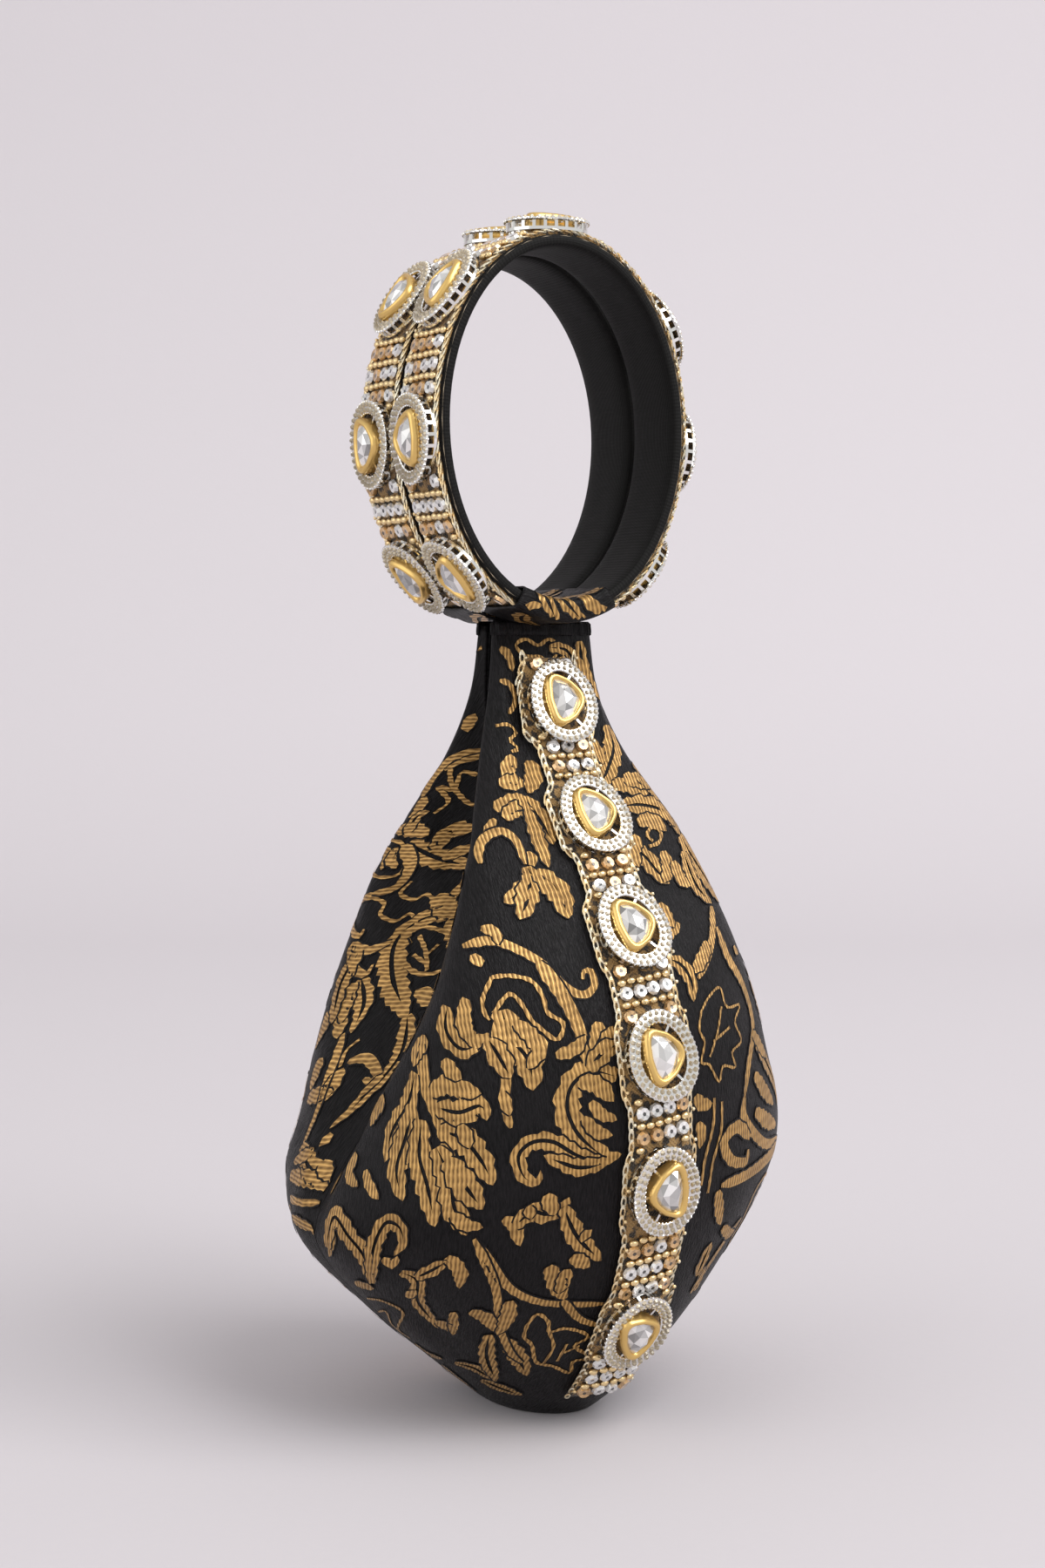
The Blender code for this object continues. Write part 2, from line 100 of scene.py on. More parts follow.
# The brocade's figures in millimetres, right of and down from the top of a panel's
# middle line. Each stroke lies over the ones before it
FRONT_FIGURES = woven("""
leaf 2.6 -11.9 5.1 -9.9 7.2 -9.4 10.7
stem 1.6 -13 12.8 -10.5 13.9 -10 17.6 -12.5 20.8
line 0.8 -16.2 23.5 -13.3 23.5 -11.4 25.1 -13.7 27.3 -11.8 29 -14 30.1
line 0.8 -5.4 7.2 -7.8 4.6 -5.2 3.1 -2.1 4.6 1 3.1 3.3 5.1 0.9 8.2 -2.3 7.2 -5.4 7.2
leaf 4 -13.6 31.3 -15.9 34.7 -14.7 38.3
leaf 4.4 -18.5 37.1 -15.6 37.7 -12.5 37.1
leaf 4.6 -9.3 31.8 -9.7 35.9 -12.6 40.1
leaf 4.6 -21.3 42.5 -18.7 43.1 -13.2 41.3
leaf 4 -20.1 46.2 -16.6 44.3 -12.3 44.3
broad 6.6 -14.1 41.3 -12 46.2 -10.6 53.4
leaf 4 -13.9 44.3 -13.8 49.8 -13.4 58.8
leaf 2.2 -22 46.2 -23.9 48 -25.6 49.8
stem 2.2 -28.3 56.4 -27.9 53.4 -25.6 50.4 -21.6 49.2 -19.1 52.2 -18.7 57.6
broad 5.6 -18.5 58.2 -18.1 61.8 -21.7 64.2 -25.8 66.1
broad 5.8 -18.1 60 -20.4 65.5 -23.5 70.3
broad 6.4 -16.8 59.4 -14.1 63 -12.8 66.7 -12.9 71.5
leaf 4.2 -15.5 61.2 -12.9 64.2 -10.6 69.1
leaf 3.6 -17.3 54.6 -16.6 58.2
stem 2.2 -37.7 75.7 -31.1 74.5 -26 76.9 -21.3 81 -18.1 86 -14.6 88.8 -11.5 87.7 -11.1 84.4 -12.8 83.8
 -13.5 85.5
stem 3.4 -22.2 80.4 -18.6 88.8 -16.5 96.3 -16.3 103.1
leaf 3 -32.3 71.5 -29.5 72.7 -29.6 75.7
leaf 3.4 -35.5 77.5 -34.6 80.4
leaf 3.2 -22.5 100.5 -18.4 100 -15.3 97.4
leaf 4 -11.8 95.2 -12.9 98.4 -14.6 101
leaf 4.2 -8.1 97.4 -11 99.5 -12.7 102.1
broad 4.8 -15.8 104.6 -11.9 101.5 -7.7 100.5
line 0.9 -32.8 82.7 -36 87.7 -35.3 91.5 -32.1 88.2 -29.7 86.6 -27.9 88.8 -26.4 92.6 -24.7 94.7 -21.7
 97.4 -19.8 94.2 -22.7 91.5 -23 88.2 -24.6 84.4 -28.9 82.7 -32.8 82.7
broad 5.2 -44.5 88.8 -45.6 93.6 -42.7 97.4 -37.8 96.8
leaf 4 -39.4 87.1 -41.1 92 -39.3 95.8 -35.2 94.7
broad 8.4 -32.3 89.9 -31.3 95.8 -28.4 101 -28.3 107.2
broad 5.6 -36.2 95.8 -34.5 99.5 -32.6 104.1
leaf 4.4 -29.7 92.6 -25.7 98.4 -28.9 102.6
leaf 4 -33.1 92 -30.2 95.8 -25.7 98.4
stem 2.4 -33.5 103.1 -34.5 109.7 -33.7 114.3
leaf 3 -34.8 106.7 -33.7 111.8
stem 3.4 -53 96.8 -52.5 104.1 -49.5 111.3 -47.4 118.8 -46.3 125.8
leaf 4 -51.4 95.8 -54.8 98.4 -55.8 101.5
broad 5.2 -55.1 102.6 -57.2 108.7 -61.9 114.8 -63.3 120.8
broad 6.4 -55.8 109.2 -57.8 115.3 -59.8 121.8 -57.6 128.3
broad 6.6 -53.6 111.8 -54.3 118.8 -52.1 125.3 -49.9 133.8
broad 6.6 -50.2 117.3 -47.1 123.8 -46 129.8 -42.9 136.4
broad 6.4 -47.8 119.8 -43.9 125.3 -39.8 130.8
broad 6.4 -49.4 113.8 -44.1 115.8 -40.1 120.8 -37.8 125.8
broad 5.6 -49.8 109.2 -44.6 110.3 -39.7 109.2 -38.7 112.3
leaf 4.6 -51 106.2 -46.7 104.6 -43.2 105.7 -39.3 106.7
leaf 3.8 -46.9 99.5 -45.3 102.1 -43.3 103.6
leaf 3.6 -44.3 112.8 -42.7 117.8
leaf 3.4 -46.3 131.3 -43.5 133.8 -39.5 134.9
broad 6.6 -9.7 107.2 -15.2 105.2 -19.8 107.2 -21.4 111.8 -19.9 116.8 -16.6 120.8 -12.8 123.8 -9.4 123.8
leaf 4.6 -18.3 106.7 -14.2 108.2 -10.9 112.3
leaf 3.2 -16.1 111.3 -14.1 114.3 -10.4 116.3
leaf 3 -18 114.3 -15.3 117.8 -11.5 119.3
broad 4.2 -14.5 124.3 -20 121.8 -24.9 118.3 -29.4 117.8 -32.4 120.3 -31.2 124.8 -28.2 126.3 -27.7 123.8
broad 4 -12.9 124.8 -18.8 124.8 -23.4 122.8 -27 120.8
leaf 3.2 -35.2 133.3 -32.8 135.4 -31 140.4
broad 4.8 -32.8 135.4 -29.2 132.8 -25.8 133.8 -22.3 132.8 -21.2 130.8
broad 4.8 -22.3 132.8 -19.8 138.4 -16.9 142.5 -11.9 147.7
leaf 3.8 -26.2 129.3 -24.1 134.4
leaf 2.8 -17.8 141.5 -15.3 139.4
leaf 3.6 -19.1 145.1 -14.3 148.7
leaf 2.8 -29.9 131.3 -29.3 134.4
broad 5.8 -79.8 142 -77.8 133.8 -71.8 137.4 -66.9 142 -64.8 150.8
broad 4.6 -64.5 150.3 -64.4 139.4 -61.9 133.3 -58.3 133.8 -57.1 137.4 -59 141
leaf 3.4 -70.4 151.9 -63.7 152.4
leaf 2.6 -76.8 137.9 -79.5 145.1
leaf 3 -61.8 142 -59.1 143.5 -58.2 141
broad 4.2 -56.8 145.6 -52.6 148.2 -51.4 156.2 -45.1 166.1
broad 4 -53.1 147.2 -49.6 144.6 -46.4 142
leaf 3.8 -46.6 141 -43.2 145.1 -42.5 150.3
leaf 3.6 -45.8 163.3 -40.1 166.1
leaf 3 -42.3 158.4 -40.8 167.8
leaf 3.2 -54.6 154.6 -52.4 151.4
stem 2 -41.2 137.4 -37.3 143 -31.3 151.4 -24.1 156.2 -16.1 158.4 -7.8 160
stem 2 -41.2 137.4 -34.6 150.8 -31 162.8 -26 172.4 -22.1 176.6
leaf 4.4 -23.9 146.6 -20.8 152.4 -18 156.7
leaf 3.8 -19.4 148.2 -20.1 154.6
leaf 3.6 -38.5 157.8 -34.2 160.6 -31.2 165
leaf 4 -30.5 155.1 -29.8 161.1 -30.6 166.1
stem 1.8 -18.7 156.7 -13.6 162.8 -8.3 166.1
broad 4.4 -32.5 166.1 -30.7 174.8 -25.3 186
broad 4.6 -28.5 167.8 -23.9 174.2 -19.1 182.2
line 0.8 -24.8 163.3 -23.4 160 -20.3 162.8 -19.2 166.1 -16.1 165.5 -11.9 167.2 -9.6 169.5 -12 171.8 -6.6
 176.6 -10.5 177.2 -9.8 181.5 -14.6 178.4 -18.9 176.6 -21.9 170.1 -24.4 167.2 -24.8 163.3
line 0.7 -17.1 177.2 -16.8 171.3 -19.2 166.1
line 0.7 -14.3 176.6 -14 170.7
line 0.7 -13.7 173.6 -10.8 171.8
line 0.8 -67.4 158.4 -61.5 157.3 -55.2 161.1 -57.9 170.7 -53.8 173.6
line 0.8 -64.8 164.4 -60.9 162.2 -60.1 168.9 -56.7 173
leaf 3.2 -73.5 120.3 -75.2 124.3 -70.9 126.3
leaf 3 -69.1 122.8 -67.7 125.3 -64.1 128.3
leaf 3.4 -52.9 176.6 -48.9 180.3 -42.2 180.3
broad 3.6 -38.1 180.3 -32.5 180.9 -26.6 185.3
broad 3.6 -29.2 186.6 -22.9 189.2 -16.9 191.4
leaf 3 -43.3 185.3 -36.7 191.4 -27.5 199.3
broad 3.8 0.8 5.1 5.1 5.6 7.8 8.2 10.6 12.3 14.1 18.1
broad 3.6 9.6 3.6 10 9.2 12.2 13.9
leaf 3 4 7.2 5.5 10.2 7.8 12.8
broad 6.4 14.6 24.6 14.4 30.1 10.3 35.9 4.2 40.7
leaf 3.6 8.5 26.8 9.6 30.7 9.7 34.2
leaf 3.4 5.3 31.3 6.5 34.2 7.2 37.1
broad 7.4 21.1 34.7 23.8 41.9 24.9 49.2 26.1 55.8
broad 7.4 26.1 55.8 28.8 63 32.5 69.7 36.6 76.3
leaf 4.8 10.4 39.5 15.3 40.7 20.1 43.7
leaf 4.4 14.2 38.3 19.1 40.1 22.4 42.5
broad 5.8 10.5 45.5 17.1 46.2 23.1 49.2 25.3 53.4
leaf 4.4 13.2 50.4 18.3 50.4 21.2 54
line 0.9 15.7 55.8 14.6 54 17.1 52.2 19.2 54 17.4 56.4 14 57
broad 5.6 8.9 56.4 11.8 59.4 13.7 63.6 16.1 67.3
leaf 4.6 11.9 54 9 57.6 9 61.8
leaf 4.4 17.9 58.8 17.5 63 14.6 66.7
broad 5 25 60 24.6 65.5 25.5 70.3 29.1 75.1
leaf 4 20 61.8 20.3 66.7 22.8 69.1
leaf 4.4 10.9 71.5 11.8 75.1 13.1 78.1
leaf 4 8.5 80.4 11.6 78.6 15.2 77.5
stem 2.6 28.9 75.7 25.8 81.5 21.1 87.1 16.1 91
leaf 4.6 22.5 83.8 18.9 87.1 14.7 89.3
broad 4.2 8.9 84.9 12 87.1 13.7 91 13.2 95.8
stem 2.8 27.9 81 29.4 88.8 34.8 97.4 36.6 106.2 31.4 113.8 27.8 120.8
broad 5 36.9 110.8 43.9 117.3 51 124.3 52 129.3
leaf 4.2 33.8 117.3 39.1 122.3 46.1 127.3
leaf 3.6 35.3 108.2 40.3 112.8 45 116.3
stem 2.8 27.8 120.8 27.1 124.8 32.3 130.3 40.3 134.9 53.2 137.4
stem 3.4 52.4 138.4 39.5 138.9 27.6 138.9 19.8 138.4
stem 3 29.8 130.3 24.1 126.3 19.2 128.3 22.3 133.3 28.5 135.4 29.2 132.8
leaf 4 32.9 125.3 39.5 129.3 48.1 132.8
line 0.6 14.9 98.4 18.3 95.8 22.9 94.7 24.2 99.5 30.1 100.5 26.6 103.6 28.5 108.2 23.9 109.7 24.7 113.3
 19.9 111.8 18.1 114.8 15.2 110.3 12.8 109.2 14.5 105.2 13.4 102.1 14.9 98.4
line 0.6 15.7 108.7 19.3 104.1 22.1 98.9
line 0.6 17.4 105.7 24.1 104.1
line 0.8 16.1 117.8 15.3 123.8 13.3 130.3 12.7 136.4
line 0.8 18.8 119.3 18.1 125.8 16.1 131.8 15.3 138.9
leaf 3.4 10.4 115.8 12.2 118.3 15.5 118.8
leaf 3.2 10.9 121.8 12 124.8 11.4 127.8
leaf 3.6 18.9 139.4 20.2 143.5 22.6 148.7
broad 4.2 19 160.6 19.6 156.2 20.8 152.4
leaf 3.4 21.3 165.5 21.8 162.2 21.7 158.9
stem 2 19.4 165.5 23.6 159.5 28.7 154 34.6 150.8
leaf 3.2 23.9 149.8 29.1 153 32.7 153.5
""")
GUSSET_FIGURES = woven("""
leaf 2.4 15.3 4.6 16.5 8.2
leaf 3.4 20.2 20.8 21 22.9 22.3 25.1
stem 2.4 29.6 30.1 24.1 31.3 23.8 35.9 27.1 41.9
stem 2 30.6 31.3 26.7 32.4 24.9 34.7
line 0.8 35 36.5 29.4 35.3 33 40.1 27.9 38.9 34.6 43.1 34.1 46.2
line 0.8 25 33.6 30.4 38.3 39.7 43.7 43.4 44.3
leaf 3 27.7 41.9 29.4 45.5 28.3 47.4
leaf 4 27.6 50.4 32.3 50.4 38.5 52.2
broad 5 35.3 54 46.1 58.2 57.4 61.2
leaf 5 44 55.8 42.4 51 48.1 51.6
leaf 4.2 47.5 57.6 53 56.4
broad 3.4 32.5 51.6 30.7 47.4 32.6 45.5
line 0.8 28.8 53.4 29.7 55.8 31.2 59.4 33.6 62.4 38.4 63 40.9 61.8 38 57.6 33.3 54 28.8 53.4
leaf 2.6 29.7 55.8 33.5 57.6 35.4 61.2
leaf 2.4 33.3 55.2 34.8 58.2 38.6 60.6
stem 2.8 34.7 54.6 41.6 60 43.5 65.5 39.4 67.3
stem 2.2 42.2 67.3 35.8 69.7 36.9 75.7 43.7 78.1 44.1 76.3
line 0.8 39 67.9 44.3 69.7 45.7 72.7 50.8 74.5 52.7 72.7 56.8 75.7 55.1 77.5 59.6 80.4
line 0.8 45.9 64.2 46 67.3 50.9 69.1 53.2 67.9 58.3 70.9
broad 6.6 59.7 63 62.2 69.7 69.4 77.5 75.2 84.4 77.7 91
broad 6 64.7 73.3 57.1 74.5 55.5 79.8 62.6 88.2 75.1 97.4
leaf 4.6 55.9 68.5 62.7 72.7 67.7 72.1
line 0.9 59.5 76.3 56.8 77.5 57.2 80.4 62.2 84.9 68.1 87.7 72.4 87.7 74 85.5 71.8 81.5 66.1 78.1 59.5
 76.3
line 0.8 69.9 87.1 65.5 82.7 60.2 78.6
line 0.7 66.5 83.8 67 81
line 0.7 68 85.5 62.9 83.2
leaf 4 76.9 89.9 77.6 93.1 71.4 91.5
broad 4.2 74.8 96.8 81.1 103.6 82 108.7 80.1 113.8 77.6 118.8
stem 2 69.3 105.2 74 105.2 80.2 108.7 79.3 109.7 77.2 109.2
stem 2 81.5 108.7 80.5 110.3 79.4 112.8
stem 2.2 54.5 79.8 50.3 81.5 43.9 80.4 48.8 84.9 54.4 87.1 54.5 84.9
broad 4.8 47.6 81.5 48.6 86 50.5 91 55.7 97.9
leaf 4.2 50.9 95.8 53.2 99.5 53.9 104.6
leaf 3.8 55.8 94.7 60.8 100.5
broad 4 53.9 87.7 60.6 93.6 63.7 99.5
leaf 3.6 53.4 88.8 54.5 92 58.6 97.4
leaf 4.2 60.7 105.2 63 112.3
leaf 3.8 68.8 106.7 71.7 113.3
leaf 4.2 63.2 113.8 71.9 111.3
line 0.8 67.6 101 66.2 103.1 68.1 106.2
stem 1.8 61.6 99.5 66 106.2 70.6 114.3 72.3 123.8
broad 4.8 71.7 122.8 80.9 127.3 87.5 130.3
leaf 4.2 70.3 129.8 81.1 128.8 87.5 130.8
leaf 3.6 77.6 123.3 70.4 126.8
leaf 3.4 81.7 125.3 86.5 128.8
stem 2 71.6 134.9 86.7 133.3
leaf 3 73.9 138.9 84.1 138.9 85.6 140.4
leaf 2.8 70.3 136.9 69.9 144
leaf 3.4 79.1 119.8 78.1 122.3
""")
SLEEVE_FIGURES = woven("""
broad 4 8 3 13 3.6 18 6 23.6 10
broad 4.2 7 9 12 8.4 18 11 23.6 16
leaf 3.2 15 16 19 17 23.4 21
broad 4 5 16 10 15 14 18 17 23
stem 1.8 23.4 1.6 21 2.6 19.6 5
broad 4.2 -6 3 0 4 4 8 5 13
leaf 3.4 -4 12 0 15 1 21
broad 4.2 -22 3 -16 5 -11 10 -9 17
broad 4.2 -20 12 -15 14 -12 19
leaf 3.2 -8 20 -4 22 1 23.6
""")


def srgb(red, green, blue):
    """A colour as a picture shows it, as the linear values that Blender uses."""
    made = []
    for value in (red, green, blue):
        share = value / 255
        made.append(share / 12.92 if share <= 0.04045 else ((share + 0.055) / 1.055) ** 2.4)
    return tuple(made)


def length(name, description, millimetres):
    """A size that the panel shows, given in millimetres."""
    return bpy.props.FloatProperty(name=name, description=description, default=millimetres * MM,
                                   unit="LENGTH", subtype="DISTANCE", precision=4)


def colour(name, description, red, green, blue):
    """A colour that the panel shows, given as 0 to 255."""
    return bpy.props.FloatVectorProperty(name=name, description=description, size=3, min=0.0, max=1.0,
                                         default=srgb(red, green, blue), subtype="COLOR")


class PouchSizes(bpy.types.PropertyGroup):
    """Sizes of the cloth pouch."""

    hem: length("Hem height", "Height of both hems above the floor", 180)
    mouth: length("Mouth height", "Where the side slits end", 150)
    middle: length("Middle", "Plane between front and back, behind the origin", 2.9)
    droop: bpy.props.FloatProperty(name="Droop", description="Rise to the right per metre", default=0.14)
    seam_gap: length("Seam gap", "Gap between the two panels at the side seam", 0.3)
    slit_half: length("Half slit", "Half the slit above the mouth", 1.4)
    slit_ease: length("Slit ease", "How far the slit takes to open", 10)
    cloth: length("Cloth thickness", "Brocade with its interlining", 1.4)
    lining: length("Lining thickness", "Thickness of the inner bag", 0.8)
    lining_inset: length("Lining inset", "How far the lining lies inside the cloth's face", 3.8)
    figure_lift: length("Figure lift", "How far the gold figures stand on the satin", 0.14)
    rows: bpy.props.IntProperty(name="Rows", description="Faces down a panel", default=132)
    columns: bpy.props.IntProperty(name="Columns", description="Faces across a panel", default=120)


class BangleSizes(bpy.types.PropertyGroup):
    """Sizes of the two bangles."""

    inner_width: length("Inner width", "Width of the opening", 58)
    inner_height: length("Inner height", "Height of the opening", 79)
    aside: length("Place across", "Middle of the bangles along X", -2.6)
    width: length("Band width", "Width of the band", 16.8)
    lining: length("Satin", "Thickness of the inner satin band", 0.8)
    core: length("Core", "Thickness of the rigid core", 1.6)
    cover: length("Net cover", "Thickness of the net cover", 0.8)
    gap: length("Layer gap", "Gap between the layers", 0.25)
    sleeve: length("Sleeve cloth", "Thickness of the sleeve", 0.6)
    sleeve_half: length("Half sleeve", "Half the sleeve's length along X", 12.5)
    above_hem: length("Above the hem", "Gap between the hem and the sleeve", 0.5)


class TrimSizes(bpy.types.PropertyGroup):
    """Sizes of the beaded trim."""

    width: length("Trim width", "Widest part of the net ribbon", 17.8)
    top: length("Trim top", "Height of the ribbon's upper end", 172.5)
    end: length("Trim end", "Height of the ribbon's lower end", 8)
    net: length("Net thickness", "Thickness of the ribbon", 0.8)
    bead: length("Seed bead", "Length of a gold barrel bead", 2.15)
    sequin: length("Flat crystal", "Diameter of a flat crystal", 3.35)
    braid_link: length("Braid link", "Length of one stitch of the chain braid", 2.3)
    thread: length("Thread", "Thickness of the braid's thread", 0.42)


class JewelSizes(bpy.types.PropertyGroup):
    """Sizes of a medallion."""

    length: length("Surround length", "Length of the silver surround", 20)
    width: length("Surround width", "Width of the silver surround", 17.2)
    rim: length("Rim", "Width of the pave rim", 2.9)
    height: length("Surround height", "Height of the surround", 2.8)
    collet_length: length("Collet length", "Length of the gold collet", 12.6)
    collet_width: length("Collet width", "Width of the gold collet", 10.0)
    collet_height: length("Collet height", "Top of the gold collet", 4.2)
    collet_wall: length("Collet wall", "Width of the collet's rounded edge", 1.7)
    stone_rise: length("Stone rise", "How far the stone stands above its collet", 0.7)
    pave: length("Pave stone", "Diameter of a small stone of the rim", 1.5)
    egg: bpy.props.FloatProperty(name="Egg", description="How much wider one end is", default=0.07)


class Finishes(bpy.types.PropertyGroup):
    """Colours of the finishes."""

    satin: colour("Satin ground", "Black satin of the brocade", 15, 13, 14)
    figure: colour("Gold figure", "Woven gold thread", 190, 149, 88)
    figure_shade: colour("Gold shade", "Between the ribs of the gold thread", 104, 74, 36)
    band: colour("Band satin", "Inner band of the bangles", 16, 15, 14)
    lining: colour("Lining", "Inner bag", 38, 36, 38)
    net: colour("Net", "Dark net ribbon shot with gold", 52, 42, 30)
    silver: colour("Silver", "Medallion surrounds", 228, 216, 192)
    gold: colour("Gold", "Collets", 236, 186, 112)
    stone: colour("Stone", "Clear faceted stones", 252, 250, 248)
    pave: colour("Rim stone", "Small stones of the surrounds", 224, 208, 178)
    peach: colour("Peach crystal", "Peach and gold flat crystals", 228, 184, 128)
    seed: colour("Seed bead", "Gold seed beads", 244, 216, 164)
    thread: colour("Braid thread", "Metallic thread of the braid", 236, 228, 204)
    core: colour("Core", "Stiff core of the bangles", 190, 172, 146)


class StageSettings(bpy.types.PropertyGroup):
    """Camera, floor and lamps."""

    azimuth: bpy.props.FloatProperty(name="Azimuth", description="The camera's way round the bag",
                                     default=math.radians(-31), unit="ROTATION", subtype="ANGLE")
    pitch: bpy.props.FloatProperty(name="Pitch", description="How far the camera looks down",
                                   default=math.radians(3), unit="ROTATION", subtype="ANGLE")
    lens: bpy.props.FloatProperty(name="Lens", description="Focal length in millimetres", default=55.56)
    distance: length("Distance", "Depth of the pouch's foot before the camera", 570)
    aside: length("Aside", "The foot's place right of the picture's middle", 2.67)
    below: length("Below", "The foot's place below the picture's middle", 143.2)
    paper: colour("Paper", "Floor and backdrop", 238, 232, 236)
    key: bpy.props.FloatProperty(name="Key lamp", description="Power in watts", default=37.0)
    fill: bpy.props.FloatProperty(name="Fill lamp", description="Power in watts", default=5.5)
    sky: bpy.props.FloatProperty(name="Sky", description="Strength of the even light", default=0.76)


# Shaders
class Field:
    """A value inside a shader. Expressions on it add Math nodes."""

    def __init__(self, shader, socket):
        self.shader = shader
        self.socket = socket

    def math(self, operation, *values):
        return self.shader.node("ShaderNodeMath", {"operation": operation}, dict(enumerate(values)))

    def __add__(self, other):
        return self.math("ADD", self, other)

    def __radd__(self, other):
        return self.math("ADD", other, self)

    def __sub__(self, other):
        return self.math("SUBTRACT", self, other)

    def __rsub__(self, other):
        return self.math("SUBTRACT", other, self)

    def __mul__(self, other):
        return self.math("MULTIPLY", self, other)

    def __rmul__(self, other):
        return self.math("MULTIPLY", other, self)


class Shader:
    """A material under construction."""

    def __init__(self, name, **constants):
        self.material = bpy.data.materials.new(name)
        self.material.use_nodes = True
        self.tree = self.material.node_tree
        self.surface = self.tree.nodes["Principled BSDF"]
        for socket, value in constants.items():
            self.surface.inputs[socket.replace("_", " ")].default_value = value

    def node(self, kind, settings, inputs, output=0):
        """Any node: its settings first, then the values or links of its sockets."""
        made = self.tree.nodes.new(kind)
        for key, value in settings.items():
            if key == "stops":
                for element, (place, tone) in zip(made.color_ramp.elements, value):
                    element.position = place
                    element.color = (*tone, 1.0)
            else:
                setattr(made, key, value)
        for key, value in inputs.items():
            if isinstance(value, Field):
                self.tree.links.new(value.socket, made.inputs[key])
            else:
                made.inputs[key].default_value = value
        return Field(self, made.outputs[output])

    def place(self):
        return self.node("ShaderNodeTexCoord", {}, {}, "Object")

    def cloth(self, layer="cloth"):
        """Across and down the cloth, in metres."""
        flat = self.node("ShaderNodeUVMap", {"uv_map": layer}, {})
        return flat, self.axis(flat, "X"), self.axis(flat, "Y")

    def axis(self, vector, name):
        return self.node("ShaderNodeSeparateXYZ", {}, {0: vector}, name)

    def noise(self, vector, scale, detail=2.0, rough=0.5):
        return self.node("ShaderNodeTexNoise", {}, {"Vector": vector, "Scale": scale, "Detail": detail,
                                                    "Roughness": rough})

    def mix(self, share, first, second, blend="MIX"):
        tones = [v if isinstance(v, Field) else (*v, 1.0) for v in (first, second)]
        return self.node("ShaderNodeMix", {"data_type": "RGBA", "blend_type": blend},
                         {0: share, 6: tones[0], 7: tones[1]}, 2)

    def ramp(self, share, low, high):
        """Share spread so that low becomes 0 and high becomes 1."""
        return self.node("ShaderNodeMapRange", {"clamp": True}, {0: share, 1: low, 2: high})

    def wave(self, coordinate, pitch):
        """A wave from 0 to 1 along a coordinate, one turn every pitch."""
        turned = coordinate * (2 * math.pi / pitch)
        return turned.math("SINE", turned) * 0.5 + 0.5

    def bump(self, height, distance):
        return self.node("ShaderNodeBump", {}, {"Height": height, "Distance": distance})

    def finish(self, **links):
        for socket, value in links.items():
            self.tree.links.new(value.socket, self.surface.inputs[socket.replace("_", " ")])
        return self.material


def satin_ground(name, tone):
    """Black satin: fine slanting threads, a faint sheen and cloudy shading."""
    s = Shader(name, Sheen_Weight=0.01, Sheen_Roughness=0.4, Specular_IOR_Level=0.13)
    flat, _across, _down = s.cloth()
    slant = s.node("ShaderNodeMapping", {}, {"Vector": flat, "Rotation": (0.0, 0.0, math.radians(-34)),
                                             "Scale": (1.0, 0.16, 1.0)})
    thread = s.ramp(s.noise(slant, 2600, 2, 0.6), 0.36, 0.66)
    cloud = s.ramp(s.noise(flat, 70, 3), 0.32, 0.7)
    base = s.mix(thread * 0.7 + cloud * 0.3, tuple(0.3 * v for v in tone), tuple(2.4 * v for v in tone))
    return s.finish(Base_Color=base, Roughness=0.5 - 0.16 * thread, Normal=s.bump(thread, 0.00011))


def gold_figure(name, lengthwise):
    """Woven gold thread in ribs, with dark gaps, and cloudy patches of painted sheen that lighten the rib
    tops.
    """
    tones = bpy.context.scene.pouch_finishes
    s = Shader(name, Metallic=0.55, Specular_IOR_Level=0.5)
    flat, across, down = s.cloth()
    run = across if lengthwise else down
    cross = down if lengthwise else across
    drift = s.noise(flat, 220, 2) * 0.0012
    rib = s.wave(run + drift, 0.00095)
    float_ = s.wave(cross + drift * 2.0, 0.0021)
    # Painted sheen: cloudy patches where the rib tops are lightened, standing in for light caught by the
    # gold thread
    painted_sheen = s.ramp(s.noise(flat, 160, 4, 0.6), 0.38, 0.7)
    height = rib * 0.8 + float_ * 0.2
    # A lighter copy of the gold, used only for the painted sheen
    sheen_tone = tuple(min(1.0, 1.35 * v) for v in tones.figure)
    base = s.mix(height, tones.figure_shade, tones.figure)
    base = s.mix(painted_sheen * height, base, sheen_tone)
    return s.finish(Base_Color=base, Roughness=0.3 + 0.2 * (1 - height), Normal=s.bump(height, 0.00022))


def net_cloth():
    """Dark net with a fine diamond mesh, shot with gold thread."""
    tones = bpy.context.scene.pouch_finishes
    s = Shader("net", Roughness=0.7, Sheen_Weight=0.2)
    flat, across, down = s.cloth()
    one = s.wave(across + down, 0.0009)
    two = s.wave(across - down, 0.0009)
    mesh = one.math("MAXIMUM", one, two)
    gilt = s.ramp(s.noise(flat, 500, 2), 0.44, 0.54)
    base = s.mix(mesh, tuple(0.3 * v for v in tones.net), tones.net)
    base = s.mix(gilt * 0.7, base, tones.figure)
    return s.finish(Base_Color=base, Normal=s.bump(mesh, 0.0002))


def metal(name, tone, rough, grain, depth=0.00004):
    """Polished metal with small dents and a change of gloss."""
    s = Shader(name, Metallic=1.0)
    place = s.place()
    dents = s.noise(place, grain, 3)
    film = s.ramp(s.noise(place, grain * 0.3, 2), 0.3, 0.7)
    base = s.mix(film, tuple(0.86 * v for v in tone), tone)
    return s.finish(Base_Color=base, Roughness=rough + 0.14 * dents, Normal=s.bump(dents, depth))


def cut_stone(name, tone, metallic, rough=0.06, coat=1.0):
    """A foiled stone with painted reflections: each face of the cut is painted its own brightness, from near
    black to the full tone.
    """
    s = Shader(name, Metallic=metallic, Roughness=rough, Coat_Weight=coat, Coat_Roughness=0.03, IOR=1.7)
    # Painted reflection: a brightness stored for each face stands in for the glints of the cut
    facet_glint = s.node("ShaderNodeAttribute", {"attribute_name": "facet_glint"}, {}, "Fac")
    base = s.mix(facet_glint, tuple(0.06 * v for v in tone), tone)
    return s.finish(Base_Color=base)


